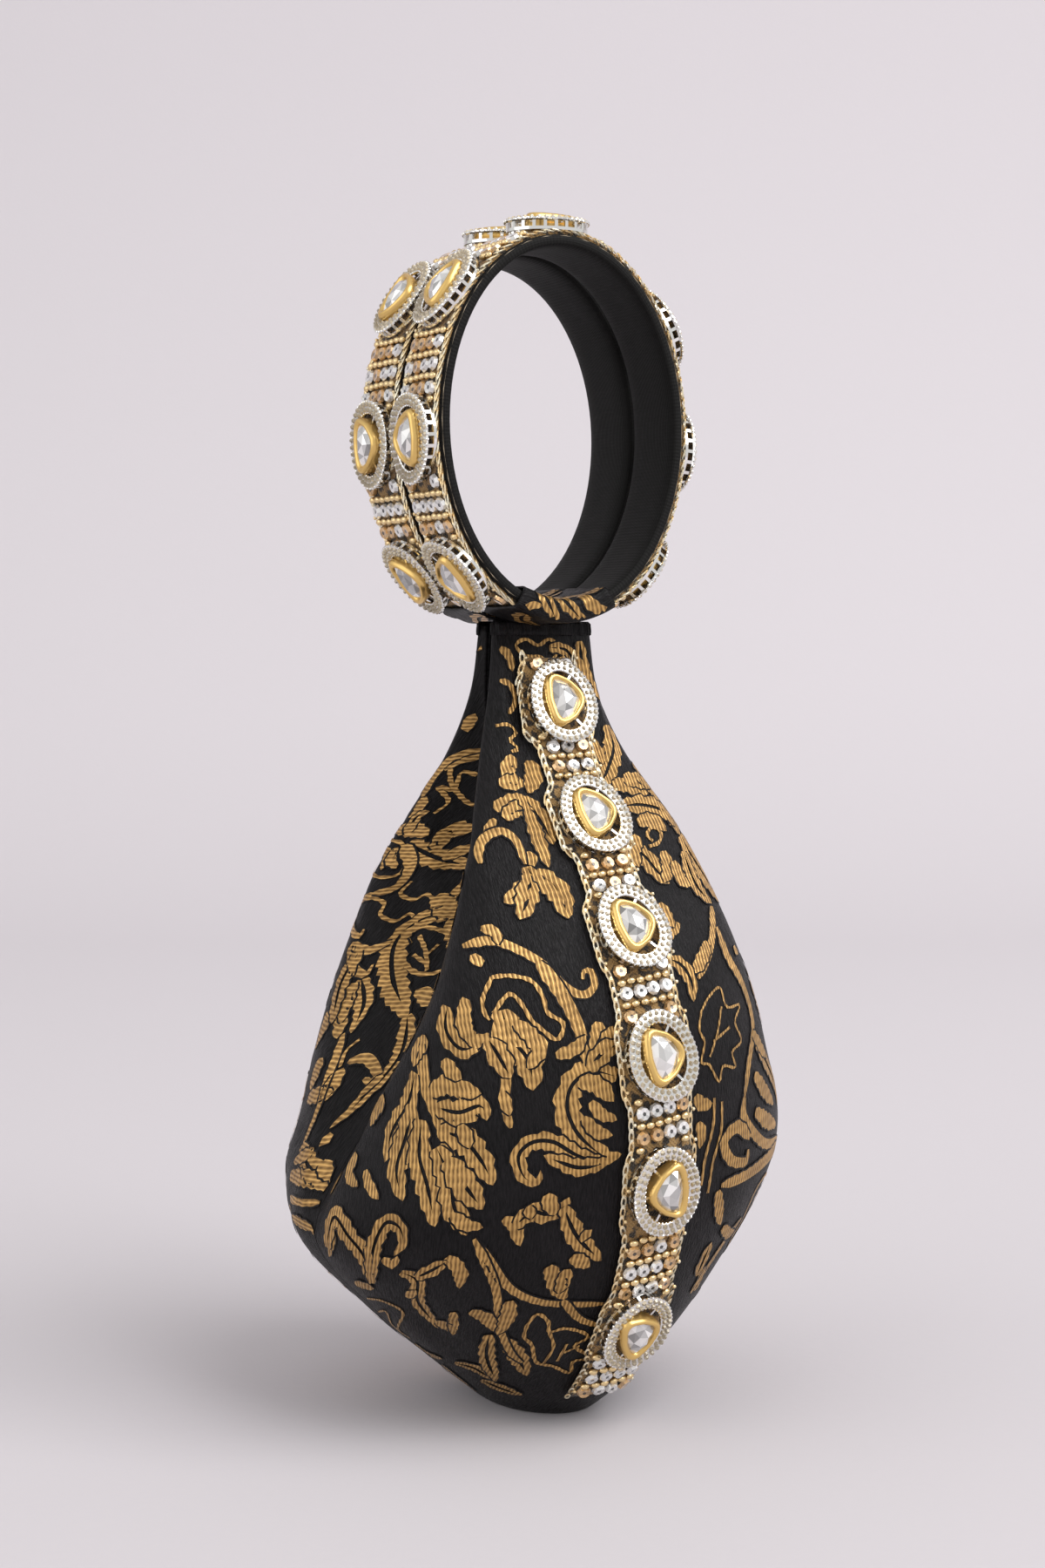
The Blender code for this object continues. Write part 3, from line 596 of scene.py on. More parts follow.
def thread_finish():
    """Metallic thread, gold and silver by turns."""
    tones = bpy.context.scene.pouch_finishes
    s = Shader("braid_thread", Metallic=0.75, Roughness=0.34)
    place = s.place()
    turn = s.ramp(s.noise(place, 420, 2), 0.42, 0.58)
    base = s.mix(turn, tones.seed, tones.thread)
    return s.finish(Base_Color=base, Normal=s.bump(s.noise(place, 3500, 1), 0.0001))


def lining_cloth(name, tone):
    """Plain woven lining."""
    s = Shader(name, Roughness=0.62, Sheen_Weight=0.3)
    flat, across, down = s.cloth()
    weave = s.wave(across, 0.0006) * s.wave(down, 0.0006)
    cloud = s.noise(flat, 80, 3)
    base = s.mix(cloud, tuple(0.6 * v for v in tone), tuple(1.3 * v for v in tone))
    return s.finish(Base_Color=base, Normal=s.bump(weave, 0.00008))


def band_satin():
    """Black satin of the inner bands: fine crosswise weave and slight wear."""
    tones = bpy.context.scene.pouch_finishes
    s = Shader("band_satin", Sheen_Weight=0.02, Sheen_Roughness=0.5, Specular_IOR_Level=0.14)
    flat, across, down = s.cloth()
    weave = s.wave(across, 0.0005) * 0.5 + s.wave(down, 0.0008) * 0.5
    worn = s.noise(flat, 260, 4, 0.6)
    base = s.mix(worn, tuple(0.5 * v for v in tones.band), tuple(1.6 * v for v in tones.band))
    return s.finish(Base_Color=base, Roughness=0.55 + 0.15 * worn, Normal=s.bump(weave + worn, 0.00008))


def board():
    """The rigid core: pressed board with a dull grain."""
    tones = bpy.context.scene.pouch_finishes
    s = Shader("core_board", Roughness=0.7)
    grain = s.noise(s.place(), 300, 4)
    base = s.mix(grain, tuple(0.6 * v for v in tones.core), tones.core)
    return s.finish(Base_Color=base, Normal=s.bump(grain, 0.0001))


def paper():
    """Seamless paper of the floor and backdrop, with painted light falloff: darker on the floor round the
    bag, lighter along the way up to the backdrop, and lighter again far off in front.
    """
    s = Shader("backdrop_paper", Roughness=0.85, Specular_IOR_Level=0.2)
    tone = tuple(bpy.context.scene.pouch_stage.paper)
    place = s.place()
    tooth = s.noise(place, 400, 2)
    # Painted light falloff: the floor is painted darker than the backdrop, lightening from the bag towards
    # the backdrop
    rise = s.ramp(s.axis(place, "Y") + s.axis(place, "X") * 0.5, -0.4, 1.5)
    floor = s.mix(tooth, tuple(0.615 * v for v in tone), tuple(0.625 * v for v in tone))
    base = s.mix(rise, floor, tuple(0.78 * v for v in tone))
    # Painted light: far off in front of the bag, where the lamps reach little, the floor is painted lighter
    before = s.ramp(s.axis(place, "Y") + s.axis(place, "X") * 0.5, 0.5, -0.5)
    far_painted_light = s.ramp(s.node("ShaderNodeVectorMath", {"operation": "LENGTH"}, {0: place}, "Value"), 1.0, 2.6)
    base = s.mix(before * far_painted_light, base, tuple(0.86 * v for v in tone))
    return s.finish(Base_Color=base, Normal=s.bump(tooth, 0.00005))


def material(name):
    """A finish by name, made once."""
    tones = bpy.context.scene.pouch_finishes
    makers = {
        "satin_ground": lambda: satin_ground("satin_ground", tuple(tones.satin)),
        "figure_upright": lambda: gold_figure("figure_upright", True),
        "figure_level": lambda: gold_figure("figure_level", False),
        "net": net_cloth,
        "silver": lambda: metal("silver", tuple(tones.silver), 0.2, 900),
        "gold": lambda: metal("gold", tuple(tones.gold), 0.16, 500),
        "seed_gold": lambda: metal("seed_gold", tuple(tones.seed), 0.24, 700),
        "pave_stone": lambda: cut_stone("pave_stone", tuple(tones.pave), 0.15, 0.3, 0.35),
        "clear_stone": lambda: cut_stone("clear_stone", tuple(tones.stone), 0.55),
        "clear_crystal": lambda: cut_stone("clear_crystal", tuple(tones.stone), 0.4, 0.1),
        "peach_crystal": lambda: cut_stone("peach_crystal", tuple(tones.peach), 0.5, 0.12),
        "braid_thread": thread_finish,
        "lining_cloth": lambda: lining_cloth("lining_cloth", tuple(tones.lining)),
        "band_satin": band_satin,
        "core_board": board,
        "backdrop_paper": paper,
    }
    return bpy.data.materials.get(name) or makers[name]()


# Mesh helpers
def piece(name, builder, body, finishes, replaces=(), crease=40):
    """Finish a mesh as a piece that rides on a body of the frame."""
    mesh = bpy.data.meshes.new(name)
    builder.to_mesh(mesh)
    builder.free()
    for finish in finishes:
        mesh.materials.append(material(finish))
    mesh.shade_smooth()
    mesh.set_sharp_from_angle(angle=math.radians(crease))
    made = bpy.data.objects.new(name, mesh)
    bpy.context.scene.collection.objects.link(made)
    if body:
        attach(made, body)
    if replaces:
        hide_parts(*replaces)
    return made


def scatter(target, template, places):
    """Add a copy of a small shape at each place."""
    scratch = bpy.data.meshes.new("scratch")
    for place in places:
        copy = template.copy()
        bmesh.ops.transform(copy, matrix=place, verts=copy.verts)
        copy.to_mesh(scratch)
        copy.free()
        target.from_mesh(scratch)
    bpy.data.meshes.remove(scratch)


def paint_facet_glints(builder, seed=1, dark=0.15):
    """Paint each face of a stone its own brightness, from dark to 1, as painted reflections."""
    layer = builder.faces.layers.float.new("facet_glint")
    generator = np.random.default_rng(seed)
    # Painted reflection: a random brightness for each face
    for face in builder.faces:
        face[layer] = float(generator.uniform(dark, 1.0))


def extruded(builder, outlines, closed=False):
    """A loop of edges extruded through outlines with the same number of points."""
    count = len(outlines[0])
    verts = bmesh.ops.create_circle(builder, segments=count, radius=1.0)["verts"]
    for vert, point in zip(verts, outlines[0]):
        vert.co = point
    first = verts
    for outline in outlines[1:]:
        edges = [builder.edges.get((verts[i], verts[(i + 1) % count])) for i in range(count)]
        made = bmesh.ops.extrude_edge_only(builder, edges=edges)["geom"]
        fresh = [e for e in made if isinstance(e, bmesh.types.BMVert)]
        partner = {}
        for vert in fresh:
            for edge in vert.link_edges:
                partner[edge.other_vert(vert)] = vert
        verts = [partner[v] for v in verts]
        for vert, point in zip(verts, outline):
            vert.co = point
    if closed:
        bmesh.ops.remove_doubles(builder, verts=builder.verts, dist=1e-6)
    return first, verts


# The pouch's surface
def profile(z, column):
    """One column of STATIONS at the heights z, through a smooth curve."""
    table = np.array(sorted(STATIONS)) * MM
    heights, values = table[:, 0], table[:, column]
    slope = np.empty_like(values)
    slope[1:-1] = (values[2:] - values[:-2]) / (heights[2:] - heights[:-2])
    slope[0] = (values[1] - values[0]) / (heights[1] - heights[0])
    slope[-1] = (values[-1] - values[-2]) / (heights[-1] - heights[-2])
    z = np.clip(z, heights[0], heights[-1])
    low = np.clip(np.searchsorted(heights, z, side="right") - 1, 0, len(heights) - 2)
    span = heights[low + 1] - heights[low]
    u = (z - heights[low]) / span
    return ((2 * u**3 - 3 * u**2 + 1) * values[low] + (u**3 - 2 * u**2 + u) * span * slope[low]
            + (3 * u**2 - 2 * u**3) * values[low + 1] + (u**3 - u**2) * span * slope[low + 1])


def setback(z):
    """Half the gap between the panels: a slit above the mouth, a seam below."""
    bag = bpy.context.scene.pouch_sizes
    rise = np.clip((z - bag.mouth + bag.slit_ease) / (2 * bag.slit_ease), 0.0, 1.0)
    return bag.seam_gap / 2 + (bag.slit_half - bag.seam_gap / 2) * rise * rise * (3 - 2 * rise)


def pouch_surface(z, s, side, inset=0.0):
    """Points of the pouch, as in the CAD source: s runs from -2 to 2 across a panel."""
    bag = bpy.context.scene.pouch_sizes
    z, s = np.broadcast_arrays(np.asarray(z, float), np.asarray(s, float))
    steep = {}
    for column in (BULGE, FOLD_HALF, VALLEY_HALF):
        slope = (profile(z + MM, column) - profile(z - MM, column)) / (2 * MM)
        steep[column] = np.sqrt(1.0 + slope * slope)
    gap = setback(z)
    bulge = profile(z, BULGE) - inset * steep[BULGE]
    half = profile(z, FOLD_HALF) - inset * steep[FOLD_HALF]
    fold = np.maximum(profile(z, FOLD_SETBACK) - inset * 0.5, gap + 0.05 * MM)
    turn_in = 1.5 * (profile(z, FOLD_HALF) - profile(z, VALLEY_HALF)) / profile(z, FOLD_SETBACK)
    oblique = 2 * np.sqrt(1.0 + turn_in**2) - 1
    valley = np.minimum(profile(z, VALLEY_HALF) - inset * steep[VALLEY_HALF] * oblique, half)
    arch = np.clip(s, -1, 1) * math.pi / 2
    u = np.maximum(np.abs(s) - 1, 0)
    soft = u * u * (3 - 2 * u)
    x = np.where(np.abs(s) <= 1, half * np.sin(arch), np.sign(s) * (half + (valley - half) * soft))
    y = np.where(np.abs(s) <= 1, fold + (bulge - fold) * np.cos(arch), fold + (gap - fold) * u)
    share = np.clip(z / bag.hem, 0, 1)
    rise = bag.droop * np.sin(math.pi * share**0.75) ** 1.5
    return np.stack([x, side * y + bag.middle, z + rise * x], -1)


def unit(vectors):
    """The same directions, one long."""
    size = np.linalg.norm(vectors, axis=-1, keepdims=True)
    return vectors / np.maximum(size, 1e-12)


class Cloth:
    """A sheet over rows and columns of points, with its flat coordinates."""

    def __init__(self, points, outward, middle):
        self.points = points
        self.middle = middle
        normals = unit(np.cross(np.gradient(points, axis=1), np.gradient(points, axis=0)))
        row = len(points) // 2
        sign = 1.0 if normals[row, middle] @ np.array(outward) > 0 else -1.0
        self.normals = normals * sign
        steps = np.linalg.norm(np.diff(points, axis=1), axis=2)
        run = np.concatenate([np.zeros((len(points), 1)), np.cumsum(steps, axis=1)], axis=1)
        self.across = run - run[:, middle:middle + 1]
        down = np.linalg.norm(np.diff(points[:, middle], axis=0), axis=1)
        self.down = np.concatenate([[0.0], np.cumsum(down)])

    def has(self, u, w, margin=0.0004):
        if not self.down[0] + margin < w < self.down[-1] - margin:
            return False
        row = int(np.searchsorted(self.down, w)) - 1
        ends = self.across[row]
        return ends[0] + margin < u < ends[-1] - margin

    def corners(self, u, w):
        """Rows, columns and weights of the four points round a flat place."""
        count = len(self.down)
        row = np.interp(w, self.down, np.arange(count))
        i = min(int(row), count - 2)
        f = row - i
        order = np.arange(self.across.shape[1])
        above, below = np.interp(u, self.across[i], order), np.interp(u, self.across[i + 1], order)
        column = (1 - f) * above + f * below
        j = min(int(column), len(order) - 2)
        g = column - j
        return ((i, j, (1 - f) * (1 - g)), (i, j + 1, (1 - f) * g),
                (i + 1, j, f * (1 - g)), (i + 1, j + 1, f * g))

    def at(self, u, w, lift=0.0):
        """The point at a flat place, lifted off the cloth."""
        point = np.zeros(3)
        for i, j, weight in self.corners(u, w):
            point += weight * (self.points[i, j] + lift * self.normals[i, j])
        return point

    def seat(self, u, w, lift=0.0, turn=0.0):
        """A placing matrix on the cloth: x across, y up, z outward."""
        step = 0.0005
        point = self.at(u, w, lift)
        across = self.at(u + step, w, lift) - self.at(u - step, w, lift)
        outward = np.zeros(3)
        for i, j, weight in self.corners(u, w):
            outward += weight * self.normals[i, j]
        outward = unit(outward)
        across = unit(across - (across @ outward) * outward)
        up = np.cross(outward, across)
        made = Matrix((across, up, outward)).transposed().to_4x4()
        return Matrix.Translation(point) @ made @ Matrix.Rotation(turn, 4, "Z")


def cloth_mesh(cloth):
    """A grid laid on the cloth, with its flat coordinates as UVs."""
    rows, columns = cloth.points.shape[:2]
    builder = bmesh.new()
    made = bmesh.ops.create_grid(builder, x_segments=columns - 1, y_segments=rows - 1, size=1.0)
    layer = builder.loops.layers.uv.new("cloth")
    flat = {}
    for vert in made["verts"]:
        i = round((1 - vert.co.y) / 2 * (rows - 1))
        j = round((vert.co.x + 1) / 2 * (columns - 1))
        vert.co = cloth.points[i, j]
        flat[vert] = (cloth.across[i, j], cloth.down[i])
    for face in builder.faces:
        for loop in face.loops:
            loop[layer].uv = flat[loop.vert]
    builder.normal_update()
    i, j = rows // 2, columns // 2
    probe = min(builder.faces, key=lambda f: (f.calc_center_median() - Vector(cloth.points[i, j])).length)
    if probe.normal.dot(Vector(cloth.normals[i, j])) < 0:
        bmesh.ops.reverse_faces(builder, faces=builder.faces)
    return builder


def smooth_path(numbers, step=0.9):
    """Points every step along a smooth curve through the given ones."""
    knots = np.array(numbers, float).reshape(-1, 2)
    ends = np.vstack([2 * knots[0] - knots[1], knots, 2 * knots[-1] - knots[-2]])
    points = []
    for a, b, c, d in zip(ends, ends[1:], ends[2:], ends[3:]):
        for t in np.linspace(0, 1, 12, endpoint=False):
            points.append(0.5 * (2 * b + (c - a) * t + (2 * a - 5 * b + 4 * c - d) * t**2
                                 + (3 * b - a - 3 * c + d) * t**3))
    points = np.array(points + [knots[-1]])
    run = np.concatenate([[0], np.cumsum(np.linalg.norm(np.diff(points, axis=0), axis=1))])
    count = max(2, int(run[-1] / step))
    even = np.linspace(0, run[-1], count + 1)
    return np.stack([np.interp(even, run, points[:, 0]), np.interp(even, run, points[:, 1])], -1), even


def stroke_edges(kind, width, run):
    """Strips of a stroke: for each, how far its two edges lie from the middle line."""
    t = run / run[-1]
    if kind == "line":
        stitch = 1 + 0.22 * np.sin(run * 2 * math.pi / 1.3)
        half = width / 2 * stitch
        return [(-half, half)]
    if kind == "stem":
        half = width / 2 * (1 - 0.3 * t) * np.minimum(1, 6 * np.minimum(t, 1 - t) + 0.4)
        return [(-half, half * (1 + 0.12 * np.sin(run * 2.1)))]
    body = 0.46 * width * np.sin(math.pi * np.clip(0.1 + 0.9 * t, 0, 1)) ** 0.55
    pitch = 2.4 if kind == "leaf" else 3.4
    edges = []
    for shift in (0.0, 0.55 * pitch):
        tooth = ((run + shift) / pitch) % 1.0
        fine = (run / 0.95) % 1.0
        edges.append(body * (0.66 + 0.42 * tooth**0.7 + 0.08 * fine))
    if kind == "leaf":
        return [(-edges[0], edges[1])]
    vein = 0.42 * np.clip(4 * t, 0, 1) * np.clip(5 * (0.86 - t), 0, 1)
    return [(-edges[0], -vein), (vein, edges[1])]


# Width of a stroke's dark outline in millimetres. Strokes lie over one another in layers
OUTLINE = 0.45
LAYERS, LAYER = 16, 0.008 * MM

# Whole figures, as first and last stroke of the front, that are woven again where the photo shows nothing
FIGURES = ((35, 48), (26, 35), (48, 54), (12, 26), (54, 61), (72, 81), (4, 11), (61, 66), (81, 85),
           (13, 17), (61, 63), (57, 59), (49, 50), (36, 37), (22, 23))


def cells(strokes, margin):
    """Millimetre squares of the flat cloth that strokes cover: across + 120, down."""
    found = set()
    for _kind, width, numbers in strokes:
        reach = width / 2 + margin
        steps = np.arange(-math.ceil(reach), math.ceil(reach) + 1)
        disc = [(i, j) for i in steps for j in steps if i * i + j * j <= reach * reach]
        for u, w in smooth_path(numbers, 1.5)[0]:
            found.update((int(u) + 120 + i, int(w) + j) for i, j in disc)
    return found


def fill_weave(cloth, strokes, kept):
    """Weave whole figures into the bare cloth, apart from the range across that the photo shows."""
    free = np.zeros((240, 240), bool)
    for w in range(3, 236):
        row = min(int(np.searchsorted(cloth.down, w * MM)), len(cloth.down) - 1)
        low, high = cloth.across[row, 0] / MM + 122, cloth.across[row, -1] / MM + 118
        if w * MM < cloth.down[-1] - 2 * MM:
            free[max(0, int(low)):int(high), w] = True
        fold = int(cloth.across[row, cloth.middle // 2] / MM)
        free[120 + max(kept[0], fold):120 + kept[1], w] = False
    for i, j in cells(strokes, 1.6):
        if 0 <= i < 240 and 0 <= j < 240:
            free[i, j] = False
    made = list(strokes)
    generator = np.random.default_rng(5)
    for first, last in FIGURES:
        for mirrored in (1, -1):
            figure = []
            for kind, width, numbers in FRONT_FIGURES[first:last]:
                knots = np.array(numbers, float).reshape(-1, 2) * (mirrored, 1)
                figure.append((kind, width, knots))
            middle = np.concatenate([knots for _kind, _width, knots in figure]).mean(0).round()
            figure = [(kind, width, knots - middle) for kind, width, knots in figure]
            body = np.array(sorted(cells([(k, w, n.ravel()) for k, w, n in figure], 0.3))) - (120, 0)
            spots = generator.permutation([(u, w) for u in range(-92, 93, 3) for w in range(8, 225, 4)])
            for u, w in spots:
                where = body + (u + 120, w)
                if where.min() < 0 or where.max() > 239 or not free[where[:, 0], where[:, 1]].all():
                    continue
                made += [(kind, width, tuple((knots + (u, w)).ravel())) for kind, width, knots in figure]
                for i, j in cells([(k, w0, (n + (u, w)).ravel()) for k, w0, n in figure], 1.6):
                    if 0 <= i < 240 and 0 <= j < 240:
                        free[i, j] = False
    return made


def weave_figures(builder, cloth, strokes, lift):
    """Strips of gold thread on the cloth, each stroke over the ones before it with a dark outline."""
    layer = builder.loops.layers.uv.new("cloth")
    for order, (kind, width, numbers) in enumerate(strokes):
        path, run = smooth_path(numbers)
        tangent = unit(np.gradient(path, axis=0))
        aside = np.stack([-tangent[:, 1], tangent[:, 0]], -1)
        count = len(path) - 1
        strips = [(first, last, 0) for first, last in stroke_edges(kind, width, run)]
        if kind != "line":
            left, right = strips[0][0], strips[-1][1]
            strips += [(left - OUTLINE, left, 1), (right, right + OUTLINE, 1)]
        height = lift + order % LAYERS * LAYER
        for first, last, index in strips:
            across = 2 if width > 2.0 and not index else 1
            grid = bmesh.ops.create_grid(builder, x_segments=count, y_segments=across, size=1.0)["verts"]
            lost = []
            flat = {}
            for vert in grid:
                k = round((vert.co.x + 1) / 2 * count)
                share = (vert.co.y + 1) / 2
                u, w = (path[k] + aside[k] * (first[k] + (last[k] - first[k]) * share)) * MM
                if cloth.has(u, w):
                    vert.co = cloth.at(u, w, height)
                    flat[vert] = (u, w)
                else:
                    lost.append(vert)
            for face in {f for v in grid for f in v.link_faces}:
                face.material_index = index
                for loop in face.loops:
                    loop[layer].uv = flat.get(loop.vert, (0.0, 0.0))
            bmesh.ops.delete(builder, geom=lost, context="VERTS")
    builder.normal_update()
    for face in builder.faces:
        u, w = face.loops[0][layer].uv
        i, j, _weight = cloth.corners(u, w)[0]
        if face.normal.dot(Vector(cloth.normals[i, j])) < 0:
            face.normal_flip()


def folds(u, w, creases):
    """Height of soft folds at a flat place. Each crease is a line with its width and height."""
    total = np.zeros_like(u)
    for ax, ay, bx, by, width, height in creases:
        a = np.array((ax, ay)) * MM
        b = np.array((bx, by)) * MM
        along = b - a
        t = ((u - a[0]) * along[0] + (w - a[1]) * along[1]) / (along @ along)
        near = np.clip(t, 0, 1)
        distance = np.hypot(u - a[0] - near * along[0], w - a[1] - near * along[1])
        fade = np.clip(1 - np.abs(2 * t - 1), 0, 1) ** 0.5
        total += height * MM * fade * np.exp(-(distance / (width * MM)) ** 2)
    return total


# Soft creases of a panel in millimetres: both ends as across and down, then spread and lift
FRONT_CREASES = (
    (-11, 1, -15, 46, 1.6, 0.9), (-7, 1, -9, 34, 1.3, -0.8), (7, 1, 9, 30, 1.4, -0.8),
    (11.5, 1, 14, 40, 1.6, 0.8), (-24, 60, -50, 96, 3.0, 0.5), (-30, 44, -34, 84, 2.0, -0.5),
    (-14, 20, -22, 70, 3.0, 0.8), (-8, 12, -12, 50, 2.0, -0.5), (14, 20, 26, 60, 3.0, 0.7),
    (9, 14, 12, 48, 2.0, -0.5), (-40, 150, -64, 120, 5.0, 0.9), (-58, 150, -36, 178, 4.0, -0.8),
    (-24, 30, -44, 74, 2.5, -0.6), (30, 46, 56, 84, 3.0, -0.6), (40, 60, 66, 100, 4.0, 0.6),
    (-12, 110, -30, 128, 5.0, 0.4), (12, 120, 34, 138, 5.0, 0.4),
)
BACK_CREASES = (
    (11, 1, 15, 46, 1.6, 0.9), (7, 1, 9, 34, 1.3, -0.8), (-7, 1, -9, 30, 1.4, -0.8),
    (-11.5, 1, -14, 40, 1.6, 0.8), (22, 36, 50, 64, 2.2, 0.9), (26, 46, 60, 80, 2.4, -0.9),
    (30, 60, 70, 96, 3.0, 0.9), (46, 90, 84, 118, 2.6, -0.8), (-22, 36, -50, 64, 2.2, 0.9),
    (12, 20, 24, 66, 3.0, 0.9), (-12, 20, -24, 66, 3.0, 0.9), (6, 20, 4, 60, 2.4, -0.6),
    (40, 70, 70, 108, 4.0, -1.0), (52, 64, 78, 98, 3.0, 0.9), (66, 120, 40, 150, 4.0, 1.0),
    (76, 128, 52, 164, 3.0, -0.8), (-40, 70, -70, 108, 4.0, -0.8), (0, 80, 10, 120, 8.0, 0.8),
)


def panel_cloth(side):
    """The cloth of one panel, from its hem down to the seam under the base."""
    bag = bpy.context.scene.pouch_sizes
    share = np.linspace(0, 1, bag.rows + 1)
    heights = bag.hem * (1 - share - 0.08 * np.sin(math.pi * share))
    s = np.linspace(-2, 2, bag.columns + 1)
    points = pouch_surface(heights[:, None], s[None, :] * -side, side)
    foot = []
    for step in np.linspace(0, 1, 9)[1:]:
        row = points[-1].copy()
        row[:, 1] = bag.middle + (row[:, 1] - bag.middle) * (1 - step) + side * step * bag.seam_gap / 2
        foot.append(row)
    points = np.concatenate([points, np.array(foot)])
    points[..., 2] = np.maximum(points[..., 2], 0.2 * MM)
    middle = bag.columns // 2
    flat = Cloth(points, (0, side, 0), middle)
    creases = FRONT_CREASES if side < 0 else BACK_CREASES
    down = np.broadcast_to(flat.down[:, None], flat.across.shape)
    height = folds(flat.across, down, creases)
    edge = np.clip((2 - np.abs(s)) / 0.3, 0, 1) * np.clip(down[:, :1] / 0.002, 0, 1)
    ground = np.clip((flat.down[-1] - down - 0.02) / 0.02, 0, 1)
    points = points + flat.normals * (height * edge * ground)[..., None]
    return Cloth(points, (0, side, 0), middle)


def flat_size(cloth):
    """Width and length of the sheet before sewing, and its area."""
    wide = float((cloth.across[:, -1] - cloth.across[:, 0]).max())
    high, low = cloth.points[:-1], cloth.points[1:]
    one = np.cross(low[:, :-1] - high[:, :-1], high[:, 1:] - high[:, :-1])
    two = np.cross(low[:, :-1] - low[:, 1:], high[:, 1:] - low[:, 1:])
    area = float((np.linalg.norm(one, axis=-1) + np.linalg.norm(two, axis=-1)).sum() / 2)
    return (wide, float(cloth.down[-1])), area


def thicken(made, thickness):
    """Give a sheet its thickness, inward from its outer face."""
    solid = made.modifiers.new("thickness", "SOLIDIFY")
    solid.thickness = thickness
    solid.offset = -1.0


def declare(cloth):
    """Work out a sheet's flat size, measured along the cloth; the result is not kept."""
    (wide, long), area = flat_size(cloth)


# Section of the gathered hem: height above the panel's hem and lift off the cloth (mm)
HEM_SECTION = ((-2.4, -0.3), (-2.0, 0.2), (-1.2, 0.35), (-0.6, 0.4), (0.0, 0.4), (0.5, 0.4), (1.1, 0.0))


def dress_hem(prefix, side):
    """The gathered hem that joins a panel to the sleeve above it."""
    bag = bpy.context.scene.pouch_sizes
    s = np.linspace(-1.25, 1.25, 73)
    rows = []
    for above, lift in HEM_SECTION:
        height = np.full(s.shape, bag.hem + min(above, 0.0) * MM)
        row = pouch_surface(height, s * -side, side)
        outward = unit(np.stack([-np.gradient(row[:, 1]), np.gradient(row[:, 0]), 0 * s], -1))
        outward *= np.sign(outward[36, 1] * side)
        gather = 0.28 * np.sin(np.arange(73) * 0.9 + 2 * np.sin(np.arange(73) * 0.21))
        row = row + outward * ((lift + gather * (lift > 0)) * MM)[:, None]
        row[:, 2] += max(above, 0.0) * MM
        rows.append(row)
    cloth = Cloth(np.array(rows), (0, side, 0), 36)
    made = piece(prefix + "_hem", cloth_mesh(cloth), None, ["satin_ground"], (), 60)
    thicken(made, 0.3 * MM)
    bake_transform(made, "pouch", prefix, start=(0, 0, bag.hem - 0.5 * MM), end=(0, 0, bag.hem + 0.5 * MM))
    return made


# Faces under this area (square metres), at the ends of the seam under the base, are left out
SLIVER = 1e-13


def dress_panel(name, side, strokes, finish, kept):
    """A brocade panel with its woven figures."""
    bag = bpy.context.scene.pouch_sizes
    cloth = panel_cloth(side)
    builder = cloth_mesh(cloth)
    slivers = [f for f in builder.faces if f.calc_area() < SLIVER]
    bmesh.ops.delete(builder, geom=slivers, context="FACES")
    made = piece(name + "_cloth", builder, "pouch", ["satin_ground"], [name], 60)
    thicken(made, bag.cloth)
    builder = bmesh.new()
    weave_figures(builder, cloth, fill_weave(cloth, strokes, kept), bag.figure_lift)
    gold = piece(name + "_figures", builder, "pouch", [finish, "satin_ground"], (), 60)
    hem = dress_hem("front_bangle" if side < 0 else "rear_bangle", side)
    declare(cloth)


class DressFront(bpy.types.Operator):
    """Make the front panel's brocade"""

    bl_idname = "pouch.front"
    bl_label = "Front panel"

    def execute(self, context):
        dress_panel("front_panel", -1, FRONT_FIGURES, "figure_upright", (-58, 30))
        return {"FINISHED"}


class DressBack(bpy.types.Operator):
    """Make the back panel's brocade"""

    bl_idname = "pouch.back"
    bl_label = "Back panel"

    def execute(self, context):
        dress_panel("back_panel", 1, GUSSET_FIGURES, "figure_level", (0, 0))
        return {"FINISHED"}


class DressLining(bpy.types.Operator):
    """Make the loose inner bag"""

    bl_idname = "pouch.lining"
    bl_label = "Lining"

    def execute(self, context):
        bag = context.scene.pouch_sizes
        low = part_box("lining")[0]
        inset = bag.lining_inset
        heights = np.linspace(bag.mouth - 4 * MM, low.z + bag.lining, 61)
        s = np.linspace(-2, 2, 49)
        front = pouch_surface(heights[:, None], s[None, :], -1, inset)
        back = pouch_surface(heights[:, None], -s[None, :], 1, inset)
        ring = np.concatenate([front[:, :-1], back[:, :-1], front[:, :1]], axis=1)
        cloth = Cloth(ring, (0, -1, 0), 24)
        builder = cloth_mesh(cloth)
        bmesh.ops.remove_doubles(builder, verts=builder.verts, dist=1e-5)
        rim = [e for e in builder.edges if e.is_boundary]
        low_rim = [e for e in rim if max(v.co.z for v in e.verts) < bag.mouth / 2]
        bmesh.ops.contextual_create(builder, geom=low_rim)
        made = piece("lining_cloth_bag", builder, "pouch", ["lining_cloth"], ["lining"], 60)
        thicken(made, bag.lining)
        declare(cloth)
        return {"FINISHED"}


# Jewels
def egg(length_, width_, count, trillion=0.0, turn=0.0):
    """An egg-shaped outline, three-cornered by the share trillion, apex towards +x."""
    sizes = bpy.context.scene.pouch_jewels
    angles = np.linspace(0, 2 * math.pi, count, endpoint=False)
    swell = 1 + trillion * np.cos(3 * angles) + 0.25 * trillion * np.cos(6 * angles)
    x = np.cos(angles) * swell
    y = np.sin(angles) * swell
    x = width_ * (x - x.min()) / (x.max() - x.min()) - width_ / 2
    y = length_ * (y - y.min()) / (y.max() - y.min()) - length_ / 2
    if not trillion:
        x = x * (1 - sizes.egg * np.sin(angles))
    c, s = math.cos(turn), math.sin(turn)
    return np.stack([x * c - y * s, x * s + y * c], -1)


def levels(*rings):
    """Outlines at heights, as points."""
    return [[(x, y, z) for x, y in ring] for ring, z in rings]


